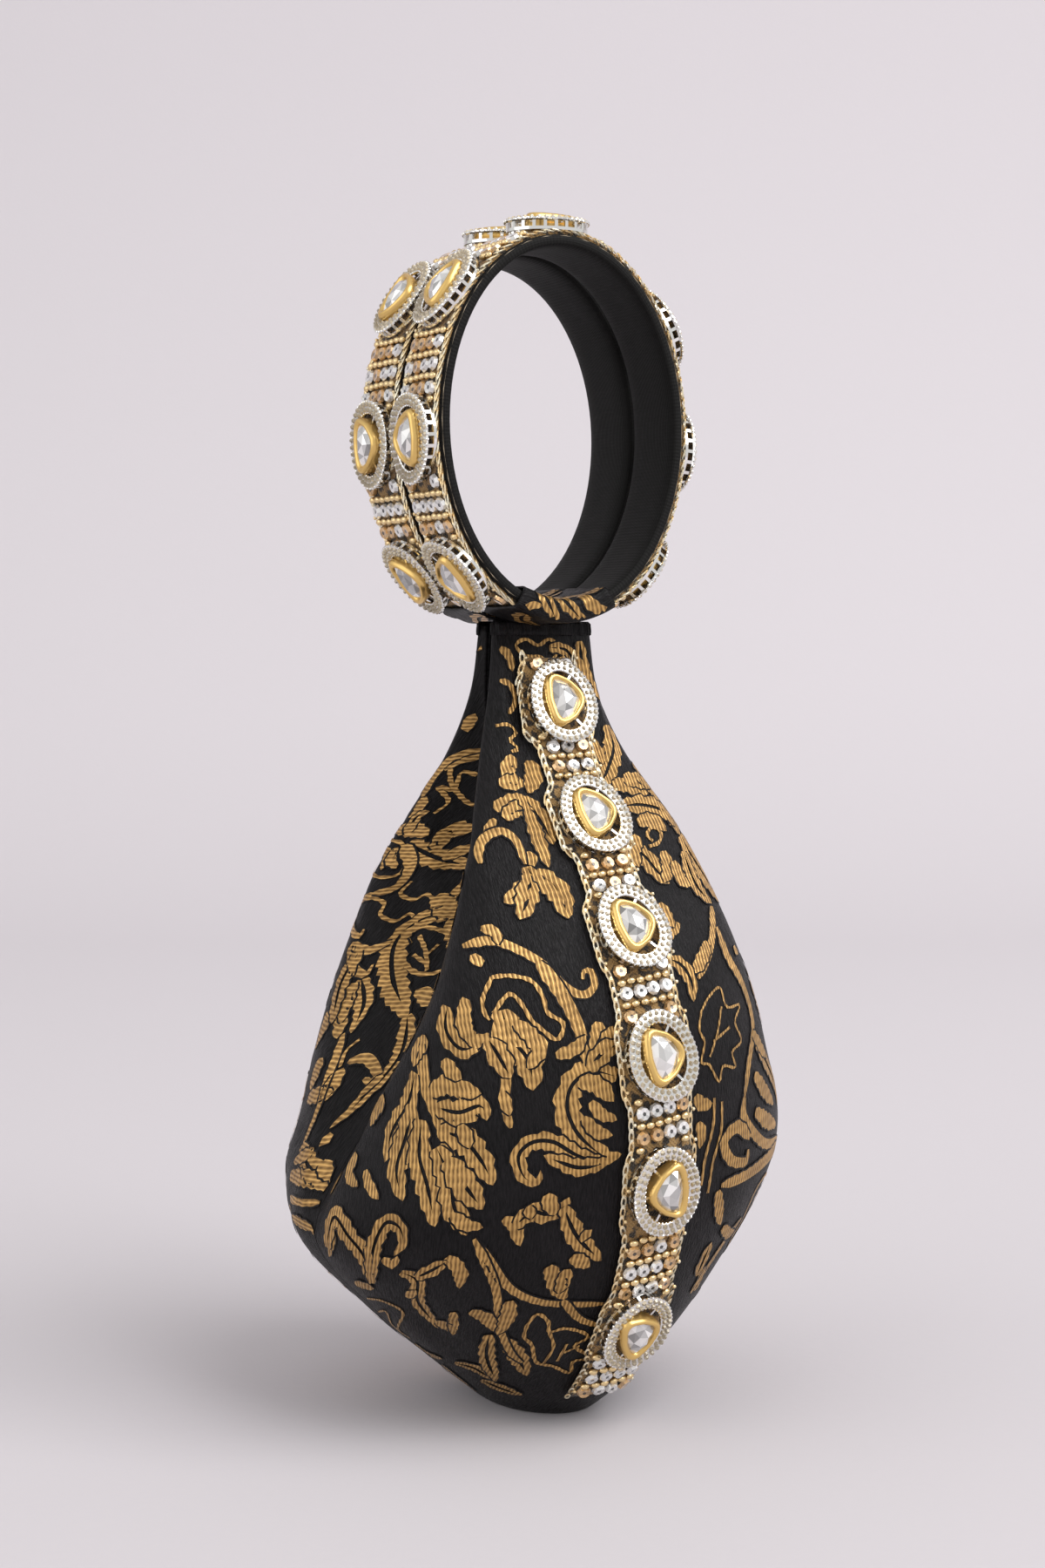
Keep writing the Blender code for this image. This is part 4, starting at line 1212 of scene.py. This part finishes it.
def walk(outline, pitch):
    """Even places along a closed outline: point and direction outward."""
    loop = np.vstack([outline, outline[:1]])
    run = np.concatenate([[0], np.cumsum(np.linalg.norm(np.diff(loop, axis=0), axis=1))])
    count = int(round(run[-1] / pitch))
    made = []
    for k in range(count):
        at = run[-1] * k / count
        x = np.interp(at, run, loop[:, 0])
        y = np.interp(at, run, loop[:, 1])
        i = min(int(np.searchsorted(run, at, side="right")) - 1, len(outline) - 1)
        dx, dy = loop[i + 1] - loop[i]
        made.append(Matrix.Translation((x, y, 0)) @ Matrix.Rotation(math.atan2(dy, dx), 4, "Z"))
    return made


def pave_template():
    """A small cut stone of the rim."""
    jewel = bpy.context.scene.pouch_jewels
    builder = bmesh.new()
    bmesh.ops.create_cone(builder, cap_ends=True, segments=6, radius1=jewel.pave / 2,
                          radius2=jewel.pave / 4.5, depth=0.65 * MM)
    # Painted reflections: each face of the small stone gets its own brightness
    paint_facet_glints(builder, 3, 0.3)
    for face in builder.faces:
        face.material_index = 1
    return builder


def surround(builder, length_, width_):
    """The silver surround: a band, a pierced gallery, a rim and two rows of small stones."""
    jewel = bpy.context.scene.pouch_jewels
    rim, top = jewel.rim, jewel.height
    outer = egg(length_, width_, 48)
    inner = egg(length_ - 2 * rim, width_ - 2 * rim, 48)
    in_wall = egg(length_ - 2 * rim + 0.5 * MM, width_ - 2 * rim + 0.5 * MM, 48)
    wall = egg(length_ - 0.7 * MM, width_ - 0.7 * MM, 48)
    band_in = egg(length_ - 1.9 * MM, width_ - 1.9 * MM, 48)
    thick = 0.7 * MM
    band = levels((wall, 0.0), (wall, thick), (band_in, thick), (band_in, 0.0), (wall, 0.0))
    extruded(builder, band, True)
    low = top - 0.75 * MM
    plate = levels((wall, low), (outer, low + 0.25 * MM), (outer, top - 0.2 * MM), (wall, top - 0.05 * MM),
                   (in_wall, top - 0.05 * MM), (inner, top - 0.25 * MM), (inner, low), (wall, low))
    extruded(builder, plate, True)
    post = bmesh.new()
    post_size = Matrix.Diagonal((0.75 * MM, 0.6 * MM, low - 0.6 * MM, 1.0))
    bmesh.ops.create_cube(post, size=1.0, matrix=post_size)
    middle = egg(length_ - 1.4 * MM, width_ - 1.4 * MM, 96)
    up = Matrix.Translation((0, 0, (low + 0.65 * MM) / 2))
    scatter(builder, post, [up @ m for m in walk(middle, 2.5 * MM)])
    post.free()
    bead = bmesh.new()
    bmesh.ops.create_icosphere(bead, subdivisions=1, radius=0.42 * MM)
    edge = egg(length_ - 0.35 * MM, width_ - 0.35 * MM, 96)
    lift = Matrix.Translation((0, 0, top - 0.3 * MM))
    scatter(builder, bead, [lift @ m for m in walk(edge, 1.15 * MM)])
    inside = egg(length_ - 2 * rim + 0.3 * MM, width_ - 2 * rim + 0.3 * MM, 96)
    scatter(builder, bead, [lift @ m @ Matrix.Scale(0.75, 4) for m in walk(inside, 1.0 * MM)])
    bead.free()
    stone = pave_template()
    up = Matrix.Translation((0, 0, top + 0.1 * MM))
    for share in (0.27, 0.7):
        ring = egg(length_ - 2 * rim * share, width_ - 2 * rim * share, 96)
        scatter(builder, stone, [up @ m for m in walk(ring, 1.6 * MM)])
    stone.free()
    claw = bmesh.new()
    bmesh.ops.create_cube(claw, size=1.0, matrix=Matrix.Diagonal((0.55 * MM, 2.2 * MM, 0.5 * MM, 1.0)))
    ring = egg(length_ - 2 * rim - 1.0 * MM, width_ - 2 * rim - 1.0 * MM, 96)
    perimeter = sum(np.linalg.norm(np.diff(np.vstack([ring, ring[:1]]), axis=0), axis=1))
    up = Matrix.Translation((0, 0, top - 0.6 * MM))
    scatter(builder, claw, [up @ m for m in walk(ring, perimeter / 6)])
    claw.free()


def collet(builder, turn):
    """The gold collet: a broad rounded edge round the stone."""
    jewel = bpy.context.scene.pouch_jewels
    long, wide = jewel.collet_length, jewel.collet_width
    top, wall = jewel.collet_height, jewel.collet_wall
    shape = 0.12
    rings = []
    base = 0.9 * MM
    for inset, height in ((0.0, base), (-0.0001, top - 1.1 * MM), (0.12 * MM, top - 0.5 * MM),
                          (0.4 * MM, top - 0.12 * MM), (0.8 * MM, top), (1.15 * MM, top - 0.08 * MM),
                          (1.45 * MM, top - 0.35 * MM), (wall, top - base), (wall, base), (0.0, base)):
        rings.append((egg(long - 2 * inset, wide - 2 * inset, 36, shape, turn), height))
    extruded(builder, levels(*rings), True)


def stone(builder, turn, seed):
    """The faceted stone: girdle, break and table, joined by their convex hull."""
    jewel = bpy.context.scene.pouch_jewels
    long = jewel.collet_length - 2 * jewel.collet_wall + 0.5 * MM
    wide = jewel.collet_width - 2 * jewel.collet_wall + 0.5 * MM
    top = jewel.collet_height + jewel.stone_rise
    girdle = jewel.collet_height - 0.8 * MM
    corners = []
    for count, share, height in ((12, 1.0, girdle - 1.2 * MM), (12, 1.0, girdle),
                                 (6, 0.66, girdle + 0.95 * MM), (3, 0.3, top)):
        for x, y in egg(long * share, wide * share, count, 0.12 if count > 3 else 0.0, turn):
            corners.append(builder.verts.new((x, y, height)))
    hull = bmesh.ops.convex_hull(builder, input=corners)
    loose = [g for g in hull["geom_interior"] if isinstance(g, bmesh.types.BMVert)]
    bmesh.ops.delete(builder, geom=loose, context="VERTS")
    # Painted reflections: each face of the stone gets its own brightness
    paint_facet_glints(builder, seed, 0.18)


def medallion(prefix, number, place, body, turn, gold_node, stone_node=None):
    """One medallion: surround, collet and stone at a place."""
    jewel = bpy.context.scene.pouch_jewels
    parts = []
    makers = ((surround, (jewel.length, jewel.width)), (collet, (turn,)), (stone, (turn, number)))
    for make, sizes in makers:
        builder = bmesh.new()
        make(builder, *sizes)
        if make is not stone:
            bmesh.ops.recalc_face_normals(builder, faces=builder.faces)
        bmesh.ops.transform(builder, matrix=place, verts=builder.verts)
        parts.append(builder)
    piece(f"{prefix}_surround_{number}", parts[0], body, ["silver", "pave_stone"],
          [f"{prefix}_frame_{number}"], 35)
    piece(f"{prefix}_gold_edge_{number}", parts[1], body, ["gold"], [gold_node], 60)
    piece(f"{prefix}_stone_{number}", parts[2], body, ["clear_stone"],
          [stone_node] if stone_node else [], 1)


# The beaded net
# How thick a barrel bead is, as a share of its length
BARREL = 0.76


def link_template():
    """One stitch of the chain braid: a slim oval loop of thread, lying flat."""
    trim = bpy.context.scene.pouch_trim
    builder = bmesh.new()
    half, wide, thin = trim.braid_link * 0.62, 0.52 * MM, trim.thread / 2
    start = Matrix.Translation((wide, 0, 0)) @ Matrix.Rotation(math.pi / 2, 4, "X")
    ring = bmesh.ops.create_circle(builder, segments=4, radius=thin, matrix=start)
    geometry = ring["verts"] + list(builder.edges)
    bmesh.ops.spin(builder, geom=geometry, cent=(0, 0, 0), axis=(0, 0, 1), angle=2 * math.pi, steps=10,
                   use_merge=True)
    bmesh.ops.recalc_face_normals(builder, faces=builder.faces)
    bmesh.ops.scale(builder, vec=(1.0, half / wide, 1.0), verts=builder.verts)
    bmesh.ops.rotate(builder, matrix=Matrix.Rotation(math.radians(14), 3, "X"), verts=builder.verts)
    return builder


def seed_template(size):
    """A gold barrel bead, lying along x."""
    builder = bmesh.new()
    bmesh.ops.create_uvsphere(builder, u_segments=7, v_segments=6, radius=size / 2,
                              matrix=Matrix.Rotation(math.pi / 2, 4, "Y"))
    bmesh.ops.scale(builder, vec=(1.0, BARREL, BARREL), verts=builder.verts)
    return builder


def sequin_template(size, index):
    """A flat crystal, cut round, with a shallow dip in its middle painted dark as painted shade for the
    thread hole; its faces carry painted reflections.
    """
    builder = bmesh.new()
    bmesh.ops.create_cone(builder, cap_ends=True, segments=9, radius1=size / 2, radius2=size / 2.5,
                          depth=0.8 * MM, matrix=Matrix.Translation((0, 0, 0.4 * MM)))
    top = [max(builder.faces, key=lambda f: f.calc_center_median().z)]
    bmesh.ops.inset_region(builder, faces=top, thickness=size * 0.26, depth=-0.12 * MM)
    # Painted reflections on the faces
    paint_facet_glints(builder, 5 + index, 0.5)
    # The dip in the middle is painted darkest: painted shade standing in for the thread hole
    hole = min(builder.faces, key=lambda f: (f.calc_center_median() - Vector((0, 0, 0.68 * MM))).length)
    hole[builder.faces.layers.float["facet_glint"]] = 0.0
    for face in builder.faces:
        face.material_index = index
    return builder


def bead_rows(start, end):
    """Rows down a ribbon by turns: (place, kind)."""
    trim = bpy.context.scene.pouch_trim
    rows = []
    at, kind = start, "sequin"
    while True:
        deep = trim.sequin if kind == "sequin" else trim.bead * BARREL
        if at + deep > end:
            break
        rows.append((at + deep / 2, kind))
        at += deep + 0.05 * MM
        kind = "seed" if kind == "sequin" else "sequin"
    return rows


def sew_beads(name, body, seat, start, end, half_width, places):
    """Seed beads and flat crystals over a ribbon, apart from the medallions' places."""
    trim, jewel = bpy.context.scene.pouch_trim, bpy.context.scene.pouch_jewels

    def covered(u, at, size):
        wide, long = jewel.width / 2 + size * 0.3, jewel.length / 2 + size * 0.3
        return any((u / wide) ** 2 + ((at - place) / long) ** 2 < 1 for place in places)

    generator = np.random.default_rng(11)
    seeds, sequins = bmesh.new(), bmesh.new()
    seed_bead = seed_template(trim.bead)
    clear, peach = sequin_template(trim.sequin, 0), sequin_template(trim.sequin, 1)
    for at, kind in bead_rows(start, end):
        wide = half_width(at)
        size = trim.sequin if kind == "sequin" else trim.bead
        count = max(1, int(2 * wide / size))
        for k in range(count):
            u = (k - (count - 1) / 2) * 2 * wide / count
            if covered(u, at, size / 2):
                continue
            tilt = Matrix.Rotation(generator.uniform(-0.14, 0.14), 4, "X")
            tilt = tilt @ Matrix.Rotation(generator.uniform(-0.14, 0.14), 4, "Y")
            spot = seat(u + generator.uniform(-0.1, 0.1) * MM, at + generator.uniform(-0.12, 0.12) * MM)
            if kind == "seed":
                scatter(seeds, seed_bead, [spot @ Matrix.Translation((0, 0, 0.75 * MM)) @ tilt])
            else:
                template = peach if generator.uniform() < 0.42 else clear
                scatter(sequins, template, [spot @ Matrix.Translation((0, 0, 0.5 * MM)) @ tilt])
    for template in (seed_bead, clear, peach):
        template.free()
    piece(name + "_seed_beads", seeds, body, ["seed_gold"], (), 60)
    piece(name + "_flat_crystals", sequins, body, ["clear_crystal", "peach_crystal"], (), 20)


def sew_braid(name, body, seats):
    """Chain braid through a row of places, with a bead on every third link."""
    builder = bmesh.new()
    template = link_template()
    scatter(builder, template, seats)
    template.free()
    bead = bmesh.new()
    bmesh.ops.create_icosphere(bead, subdivisions=1, radius=0.5 * MM)
    scatter(builder, bead, [seat @ Matrix.Translation((0.7 * MM, 0, 0.3 * MM)) for seat in seats[::3]])
    bead.free()
    piece(name, builder, body, ["braid_thread"], (), 50)


def trim_front_frame(z, x, steps=0.5 * MM):
    """Position and directions on the bare front at a height, as in the CAD source."""
    def at(height, aside):
        s = 2 / math.pi * np.arcsin(np.clip(aside / profile(height, FOLD_HALF), -1, 1))
        return pouch_surface(height, s, -1)

    point = at(z, x)
    across = unit(at(z, x + steps) - at(z, x - steps))
    down = unit(at(z - steps, x) - at(z + steps, x))
    return point, across, unit(np.cross(across, -down))


def trim_seat(z):
    """Where a medallion of the trim lies, as in the CAD source."""
    trim = bpy.context.scene.pouch_trim
    bangles = bpy.context.scene.pouch_bangles
    jewel = bpy.context.scene.pouch_jewels
    z = z * MM
    point, across, outward = trim_front_frame(z, 0.0)
    highest = 0.0
    for share in (-1.0, -0.6, -0.3, 0.3, 0.6, 1.0):
        for aside in (-0.45, 0.0, 0.45):
            near = trim_front_frame(z + share * jewel.length / 2, aside * jewel.width)[0]
            highest = max(highest, float((near - point) @ outward))
    lift = highest + 2 * bangles.gap + trim.net
    up = unit(np.cross(outward, across))
    turned = Matrix((across, up, outward)).transposed().to_4x4()
    return Matrix.Translation(point + outward * lift) @ turned


class DressTrim(bpy.types.Operator):
    """Make the beaded net trim down the front"""

    bl_idname = "pouch.trim"
    bl_label = "Trim"

    def execute(self, context):
        trim, jewel = context.scene.pouch_trim, context.scene.pouch_jewels
        bangles = context.scene.pouch_bangles
        cloth = panel_cloth(-1)
        middle = cloth.points[:, cloth.middle, 2]
        order = np.argsort(middle[:-9])

        def down(z):
            return float(np.interp(z, middle[:-9][order], cloth.down[:-9][order]))

        places = [down(z * MM) for z in TRIM_MEDALLIONS]
        start, end = down(trim.top), down(trim.end)

        def half(at):
            near = min(abs(at - p) for p in places)
            narrow = 6.6 * MM if at < places[2] else 7.6 * MM
            share = np.clip((near / (jewel.length / 2) - 0.55) / 0.5, 0, 1)
            return float(trim.width / 2 + (narrow - trim.width / 2) * share * share * (3 - 2 * share))

        rows = np.linspace(start, end, 121)
        face = bangles.gap + trim.net
        shares = np.linspace(-1, 1, 11)
        points = np.array([[cloth.at(u * half(w), w, face) for u in shares] for w in rows])
        net = Cloth(points, (0, -1, 0), 5)
        ribbon = piece("trim_net", cloth_mesh(net), "pouch", ["net"], ["trim_ribbon"], 60)
        thicken(ribbon, trim.net)
        declare(net)
        sew_beads("trim", "pouch", lambda u, w: cloth.seat(u, w, face), start, end,
                  lambda at: half(at) - 0.9 * MM, places)
        for side, label in ((-1, "left"), (1, "right")):
            run, seats = start, []
            while run < end:
                turn = math.atan2(half(run + MM) - half(run - MM), 2 * MM) * side
                seats.append(cloth.seat(side * half(run), run, face + 0.1 * MM, turn))
                run += trim.braid_link
            sew_braid(f"trim_braid_{label}", "pouch", seats)
        turns = (0.0, 0.0, 0.0, 0.0, math.pi, math.radians(20))
        for number, z in enumerate(TRIM_MEDALLIONS, 1):
            medallion("trim", number, trim_seat(z), "pouch", turns[number - 1],
                      f"trim_collet_{number}", f"trim_crystal_{number}")
        return {"FINISHED"}


# Bangles
def oval(angle, offset):
    """A point of the bangle's oval and its outward direction."""
    bangles = bpy.context.scene.pouch_bangles
    half_w, half_h = bangles.inner_width / 2, bangles.inner_height / 2
    normal = unit(np.array((half_h * math.cos(angle), 0.0, half_w * math.sin(angle))))
    return np.array((half_w * math.cos(angle), 0.0, half_h * math.sin(angle))) + normal * offset, normal


def band_thickness():
    """Thickness of a bangle from the inside of its satin to the outside of its lace."""
    bangles = bpy.context.scene.pouch_bangles
    return bangles.lining + bangles.core + bangles.cover + 2 * bangles.gap


def bangle_centre(side):
    """The middle of a bangle's oval."""
    bangles, bag = bpy.context.scene.pouch_bangles, bpy.context.scene.pouch_sizes
    sleeve_width = bangles.width + 2 * bangles.gap + 2 * bangles.sleeve
    low = bag.hem + bangles.above_hem + bangles.sleeve + bangles.gap
    return np.array((bangles.aside, bag.middle + side * (sleeve_width / 2 + bangles.gap),
                     low + band_thickness() + bangles.inner_height / 2))


def band_seat(side, angle, across, offset, half=0.0):
    """A placing matrix on the outside of the band: x along its width, z outward."""
    bangles = bpy.context.scene.pouch_bangles
    point, normal = oval(angle, offset)
    highest = 0.0
    for share in (-1.0, 1.0):
        near = oval(angle + share * half / bangles.inner_height, offset)[0]
        highest = max(highest, float((near - point) @ normal))
    y = np.array((0.0, 1.0, 0.0))
    along = unit(np.cross(normal, y))
    turned = Matrix((y, along, normal)).transposed().to_4x4()
    return Matrix.Translation(point + bangle_centre(side) + y * across + normal * highest) @ turned


def arc_table(offset):
    """Angles and running length round the band's oval."""
    angles = np.linspace(0, 2 * math.pi, 721)
    points = np.array([oval(a, offset)[0] for a in angles])
    run = np.concatenate([[0], np.cumsum(np.linalg.norm(np.diff(points, axis=0), axis=1))])
    return angles, run


def band_cloth(side, section, count=96, first=0.0, last=2 * math.pi):
    """A cloth wound round the oval: section gives offset and place across."""
    centre = bangle_centre(side)
    rows = []
    for angle in np.linspace(first, last, count + 1):
        rows.append([oval(angle, offset)[0] + centre + (0.0, across, 0.0) for offset, across in section])
    return np.array(rows)


def close_ring(builder):
    """Join the two ends of a band that runs full circle."""
    bmesh.ops.remove_doubles(builder, verts=builder.verts, dist=2e-6)
    bmesh.ops.recalc_face_normals(builder, faces=builder.faces)


def dress_bangle(prefix, side):
    """One bangle: satin band, net cover, beads, braid, medallions and sleeve."""
    scene = bpy.context.scene
    bangles, trim, jewel = scene.pouch_bangles, scene.pouch_trim, scene.pouch_jewels
    half = bangles.width / 2 + 0.15 * MM
    outside = band_thickness()
    core_top = bangles.lining + bangles.core + 2 * bangles.gap
    section = []
    for share in np.linspace(-1, 1, 9):
        section.append((0.05 * MM + 0.75 * MM * share**4 * 0.6, share * (half - 0.5 * MM)))
    section += [(0.9 * MM, half), (core_top - 0.5 * MM, half), (core_top, half - 0.5 * MM)]
    section += [(core_top, half - 3.2 * MM), (core_top, 3.2 * MM - half), (core_top, 0.5 * MM - half)]
    section += [(core_top - 0.5 * MM, -half), (0.9 * MM, -half), section[0]]
    builder = cloth_mesh(Cloth(band_cloth(side, section), (-1, 0, 0), 4))
    close_ring(builder)
    piece(prefix + "_satin_band", builder, prefix, ["band_satin"], [prefix + "_lining"], 60)
    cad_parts[prefix + "_core"].data.materials.clear()
    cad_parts[prefix + "_core"].data.materials.append(material("core_board"))

    net_half = bangles.width / 2 - 0.9 * MM
    section = [(outside, -net_half), (outside, 0.0), (outside, net_half), (core_top + 0.05 * MM, net_half),
               (core_top + 0.05 * MM, -net_half), (outside, -net_half)]
    builder = cloth_mesh(Cloth(band_cloth(side, section), (1, 0, 0), 1))
    close_ring(builder)
    piece(prefix + "_net", builder, prefix, ["net"], [prefix + "_cover"], 40)

    angles, run = arc_table(outside)
    total = run[-1]

    def arc(degrees):
        turns, rest = divmod(math.radians(degrees), 2 * math.pi)
        return float(np.interp(rest, angles, run)) + turns * total

    def angle_at(at):
        turns, rest = divmod(at, total)
        return float(np.interp(rest, run, angles)) + turns * 2 * math.pi

    places = [arc(a) for a in BANGLE_MEDALLIONS]
    reach = math.degrees(math.asin(bangles.sleeve_half / (bangles.inner_width / 2 + outside)))
    start, end = arc(-90 + reach), arc(270 - reach)

    sew_beads(prefix, prefix, lambda u, at: band_seat(side, angle_at(at), u, outside), start, end,
              lambda at: net_half - 0.3 * MM, places)
    for way, label in ((-1, "front"), (1, "rear")):
        at, seats = start, []
        while at < end:
            seats.append(band_seat(side, angle_at(at), way * net_half, outside + 0.05 * MM))
            at += trim.braid_link
        sew_braid(f"{prefix}_braid_{label}", prefix, seats)
    for number, degrees in enumerate(BANGLE_MEDALLIONS, 1):
        place = band_seat(side, math.radians(degrees), 0.0, outside, jewel.length / 2)
        place = place @ Matrix.Translation((0, 0, bangles.gap))
        turn = 0.0 if side < 0 else math.pi
        medallion(prefix, number, place, prefix, turn, f"{prefix}_setting_{number}")
    dress_sleeve(prefix, side)


def dress_sleeve(prefix, side):
    """The brocade loop sewn round the bottom of a bangle."""
    bangles = bpy.context.scene.pouch_bangles
    outside = band_thickness()
    low, high = -bangles.gap - bangles.sleeve, outside + bangles.gap + bangles.sleeve
    wide = bangles.width / 2 + bangles.gap + bangles.sleeve
    reach = math.asin(bangles.sleeve_half / (bangles.inner_width / 2 + outside))
    loop = []
    corner = 1.3 * MM
    for cx, cy, first in ((high - corner, wide - corner, 0), (low + corner, wide - corner, 90),
                          (low + corner, corner - wide, 180), (high - corner, corner - wide, 270)):
        for k in range(4):
            a = math.radians(first + 30 * k)
            loop.append((cx + corner * math.cos(a), cy + corner * math.sin(a)))
    loop = loop[14:] + loop[:14]
    closed = np.array(loop + loop[:1])
    run = np.concatenate([[0], np.cumsum(np.linalg.norm(np.diff(closed, axis=0), axis=1))])
    even = np.linspace(0, run[-1], 49)
    section = [(np.interp(e, run, closed[:, 0]), np.interp(e, run, closed[:, 1])) for e in even]
    points = band_cloth(side, section, 32, -math.pi / 2 - reach, -math.pi / 2 + reach)
    rows, columns = np.meshgrid(np.arange(33), np.arange(49), indexing="ij")
    cloth = Cloth(points, (0, 1, 1), 24)
    ripple = 0.22 * MM * np.sin(rows * 0.9 + 1.3 * np.sin(columns * 0.26))
    ripple = ripple * np.sin(columns * math.pi / 24) ** 2
    cloth = Cloth(points + cloth.normals * ripple[..., None], (0, 1, 1), 24)
    builder = cloth_mesh(cloth)
    bmesh.ops.remove_doubles(builder, verts=builder.verts, dist=2e-6)
    made = piece(prefix + "_sleeve_cloth", builder, prefix, ["satin_ground"],
                 [prefix + "_sleeve"], 60)
    thicken(made, bangles.sleeve * 0.8)
    builder = bmesh.new()
    weave_figures(builder, cloth, SLEEVE_FIGURES, bpy.context.scene.pouch_sizes.figure_lift)
    gold = piece(prefix + "_sleeve_figures", builder, prefix, ["figure_level", "satin_ground"],
                 (), 60)
    declare(cloth)


class DressFrontBangle(bpy.types.Operator):
    """Make the front bangle"""

    bl_idname = "pouch.front_bangle"
    bl_label = "Front bangle"

    def execute(self, context):
        dress_bangle("front_bangle", -1)
        return {"FINISHED"}


class DressRearBangle(bpy.types.Operator):
    """Make the rear bangle"""

    bl_idname = "pouch.rear_bangle"
    bl_label = "Rear bangle"

    def execute(self, context):
        dress_bangle("rear_bangle", 1)
        return {"FINISHED"}


# Stage
def lamp(name, power, size, place, target):
    """A square area lamp that points at a target."""
    light = bpy.data.lights.new(name, "AREA")
    light.energy = power
    light.size = size
    made = bpy.data.objects.new(name, light)
    bpy.context.scene.collection.objects.link(made)
    made.location = place
    made.rotation_euler = (Vector(target) - Vector(place)).to_track_quat("-Z", "Y").to_euler()


class SetStage(bpy.types.Operator):
    """Set the paper sweep, lamps and camera"""

    bl_idname = "pouch.stage"
    bl_label = "Stage"

    def execute(self, context):
        stage, bag = context.scene.pouch_stage, context.scene.pouch_sizes
        a, p = -stage.azimuth, stage.pitch
        ahead = Vector((math.sin(a) * math.cos(p), math.cos(a) * math.cos(p), -math.sin(p)))
        right = Vector((math.cos(a), -math.sin(a), 0.0))
        up = right.cross(ahead)
        data = bpy.data.cameras.new("camera")
        data.lens = stage.lens
        data.sensor_width = 36.0
        data.clip_start = 0.01
        camera = bpy.data.objects.new("camera", data)
        context.scene.collection.objects.link(camera)
        foot = Vector((0.0, bag.middle, 0.0))
        place = foot - (right * stage.aside - up * stage.below + ahead * stage.distance)
        turned = Matrix((right, up, -ahead)).transposed().to_4x4()
        camera.matrix_world = Matrix.Translation(place) @ turned
        context.scene.camera = camera

        level = Vector((math.sin(a), math.cos(a), 0.0))
        builder = bmesh.new()
        wide, flat, bend = 3.0, 0.9, 0.8
        section = [(-3.0, 0.0), (flat, 0.0)]
        for k in range(1, 13):
            turn = math.radians(90 * k / 12)
            section.append((flat + bend * math.sin(turn), bend * (1 - math.cos(turn))))
        section.append((1.7, 3.4))
        verts = [builder.verts.new(level * d - right * wide + Vector((0, 0, z))) for d, z in section]
        edges = [builder.edges.new(pair) for pair in zip(verts, verts[1:])]
        made = bmesh.ops.extrude_edge_only(builder, edges=edges)["geom"]
        far = [g for g in made if isinstance(g, bmesh.types.BMVert)]
        bmesh.ops.translate(builder, vec=right * 2 * wide, verts=far)
        bmesh.ops.recalc_face_normals(builder, faces=builder.faces)
        if builder.faces[:][0].normal.z < 0:
            bmesh.ops.reverse_faces(builder, faces=builder.faces)
        sweep = piece("paper_sweep", builder, None, ["backdrop_paper"], (), 80)

        target = foot + Vector((0, 0, 0.12))
        lamp("key", stage.key, 1.6, target + right * 1.24 - level * 0.72 + Vector((0, 0, 1.44)), target)
        lamp("fill", stage.fill, 1.4, target - right * 1.1 - level * 0.7 + Vector((0, 0, 0.5)), target)
        world = bpy.data.worlds.new("studio")
        context.scene.world = world
        world.use_nodes = True
        nodes, links = world.node_tree.nodes, world.node_tree.links
        even = nodes["Background"]
        even.inputs["Color"].default_value = (1.0, 1.0, 1.0, 1.0)
        even.inputs["Strength"].default_value = stage.sky
        seen = nodes.new("ShaderNodeBackground")
        seen.inputs["Color"].default_value = (*stage.paper, 1.0)
        seen.inputs["Strength"].default_value = 0.85
        rays, both = nodes.new("ShaderNodeLightPath"), nodes.new("ShaderNodeMixShader")
        links.new(rays.outputs["Is Camera Ray"], both.inputs["Fac"])
        links.new(even.outputs[0], both.inputs[1])
        links.new(seen.outputs[0], both.inputs[2])
        links.new(both.outputs[0], nodes["World Output"].inputs["Surface"])
        context.scene.view_settings.view_transform = "Standard"
        return {"FINISHED"}


class PouchPanel(bpy.types.Panel):
    """Lists the pieces and their sizes."""

    bl_idname = "VIEW3D_PT_pouch"
    bl_label = "Brocade pouch"
    bl_space_type = "VIEW_3D"
    bl_region_type = "UI"
    bl_category = "Pouch"

    def draw(self, context):
        for operator in OPERATORS:
            self.layout.operator(operator.bl_idname)
        for holder in GROUPS:
            group = getattr(context.scene, holder)
            for name in group.bl_rna.properties.keys():
                if name not in ("rna_type", "name"):
                    self.layout.prop(group, name)


OPERATORS = (SetStage, DressLining, DressFront, DressBack, DressTrim, DressFrontBangle, DressRearBangle)
GROUPS = {
    "pouch_sizes": PouchSizes, "pouch_bangles": BangleSizes, "pouch_trim": TrimSizes,
    "pouch_jewels": JewelSizes, "pouch_finishes": Finishes, "pouch_stage": StageSettings,
}


def register():
    for made in (*GROUPS.values(), *OPERATORS, PouchPanel):
        bpy.utils.register_class(made)
    for name, group in GROUPS.items():
        setattr(bpy.types.Scene, name, bpy.props.PointerProperty(type=group))


def unregister():
    for name in GROUPS:
        delattr(bpy.types.Scene, name)
    for made in (PouchPanel, *OPERATORS, *GROUPS.values()):
        bpy.utils.unregister_class(made)


def main():
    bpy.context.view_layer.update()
    register()
    for operator in OPERATORS:
        group, name = operator.bl_idname.split(".")
        getattr(getattr(bpy.ops, group), name)()


if __name__ == "__main__":
    main()
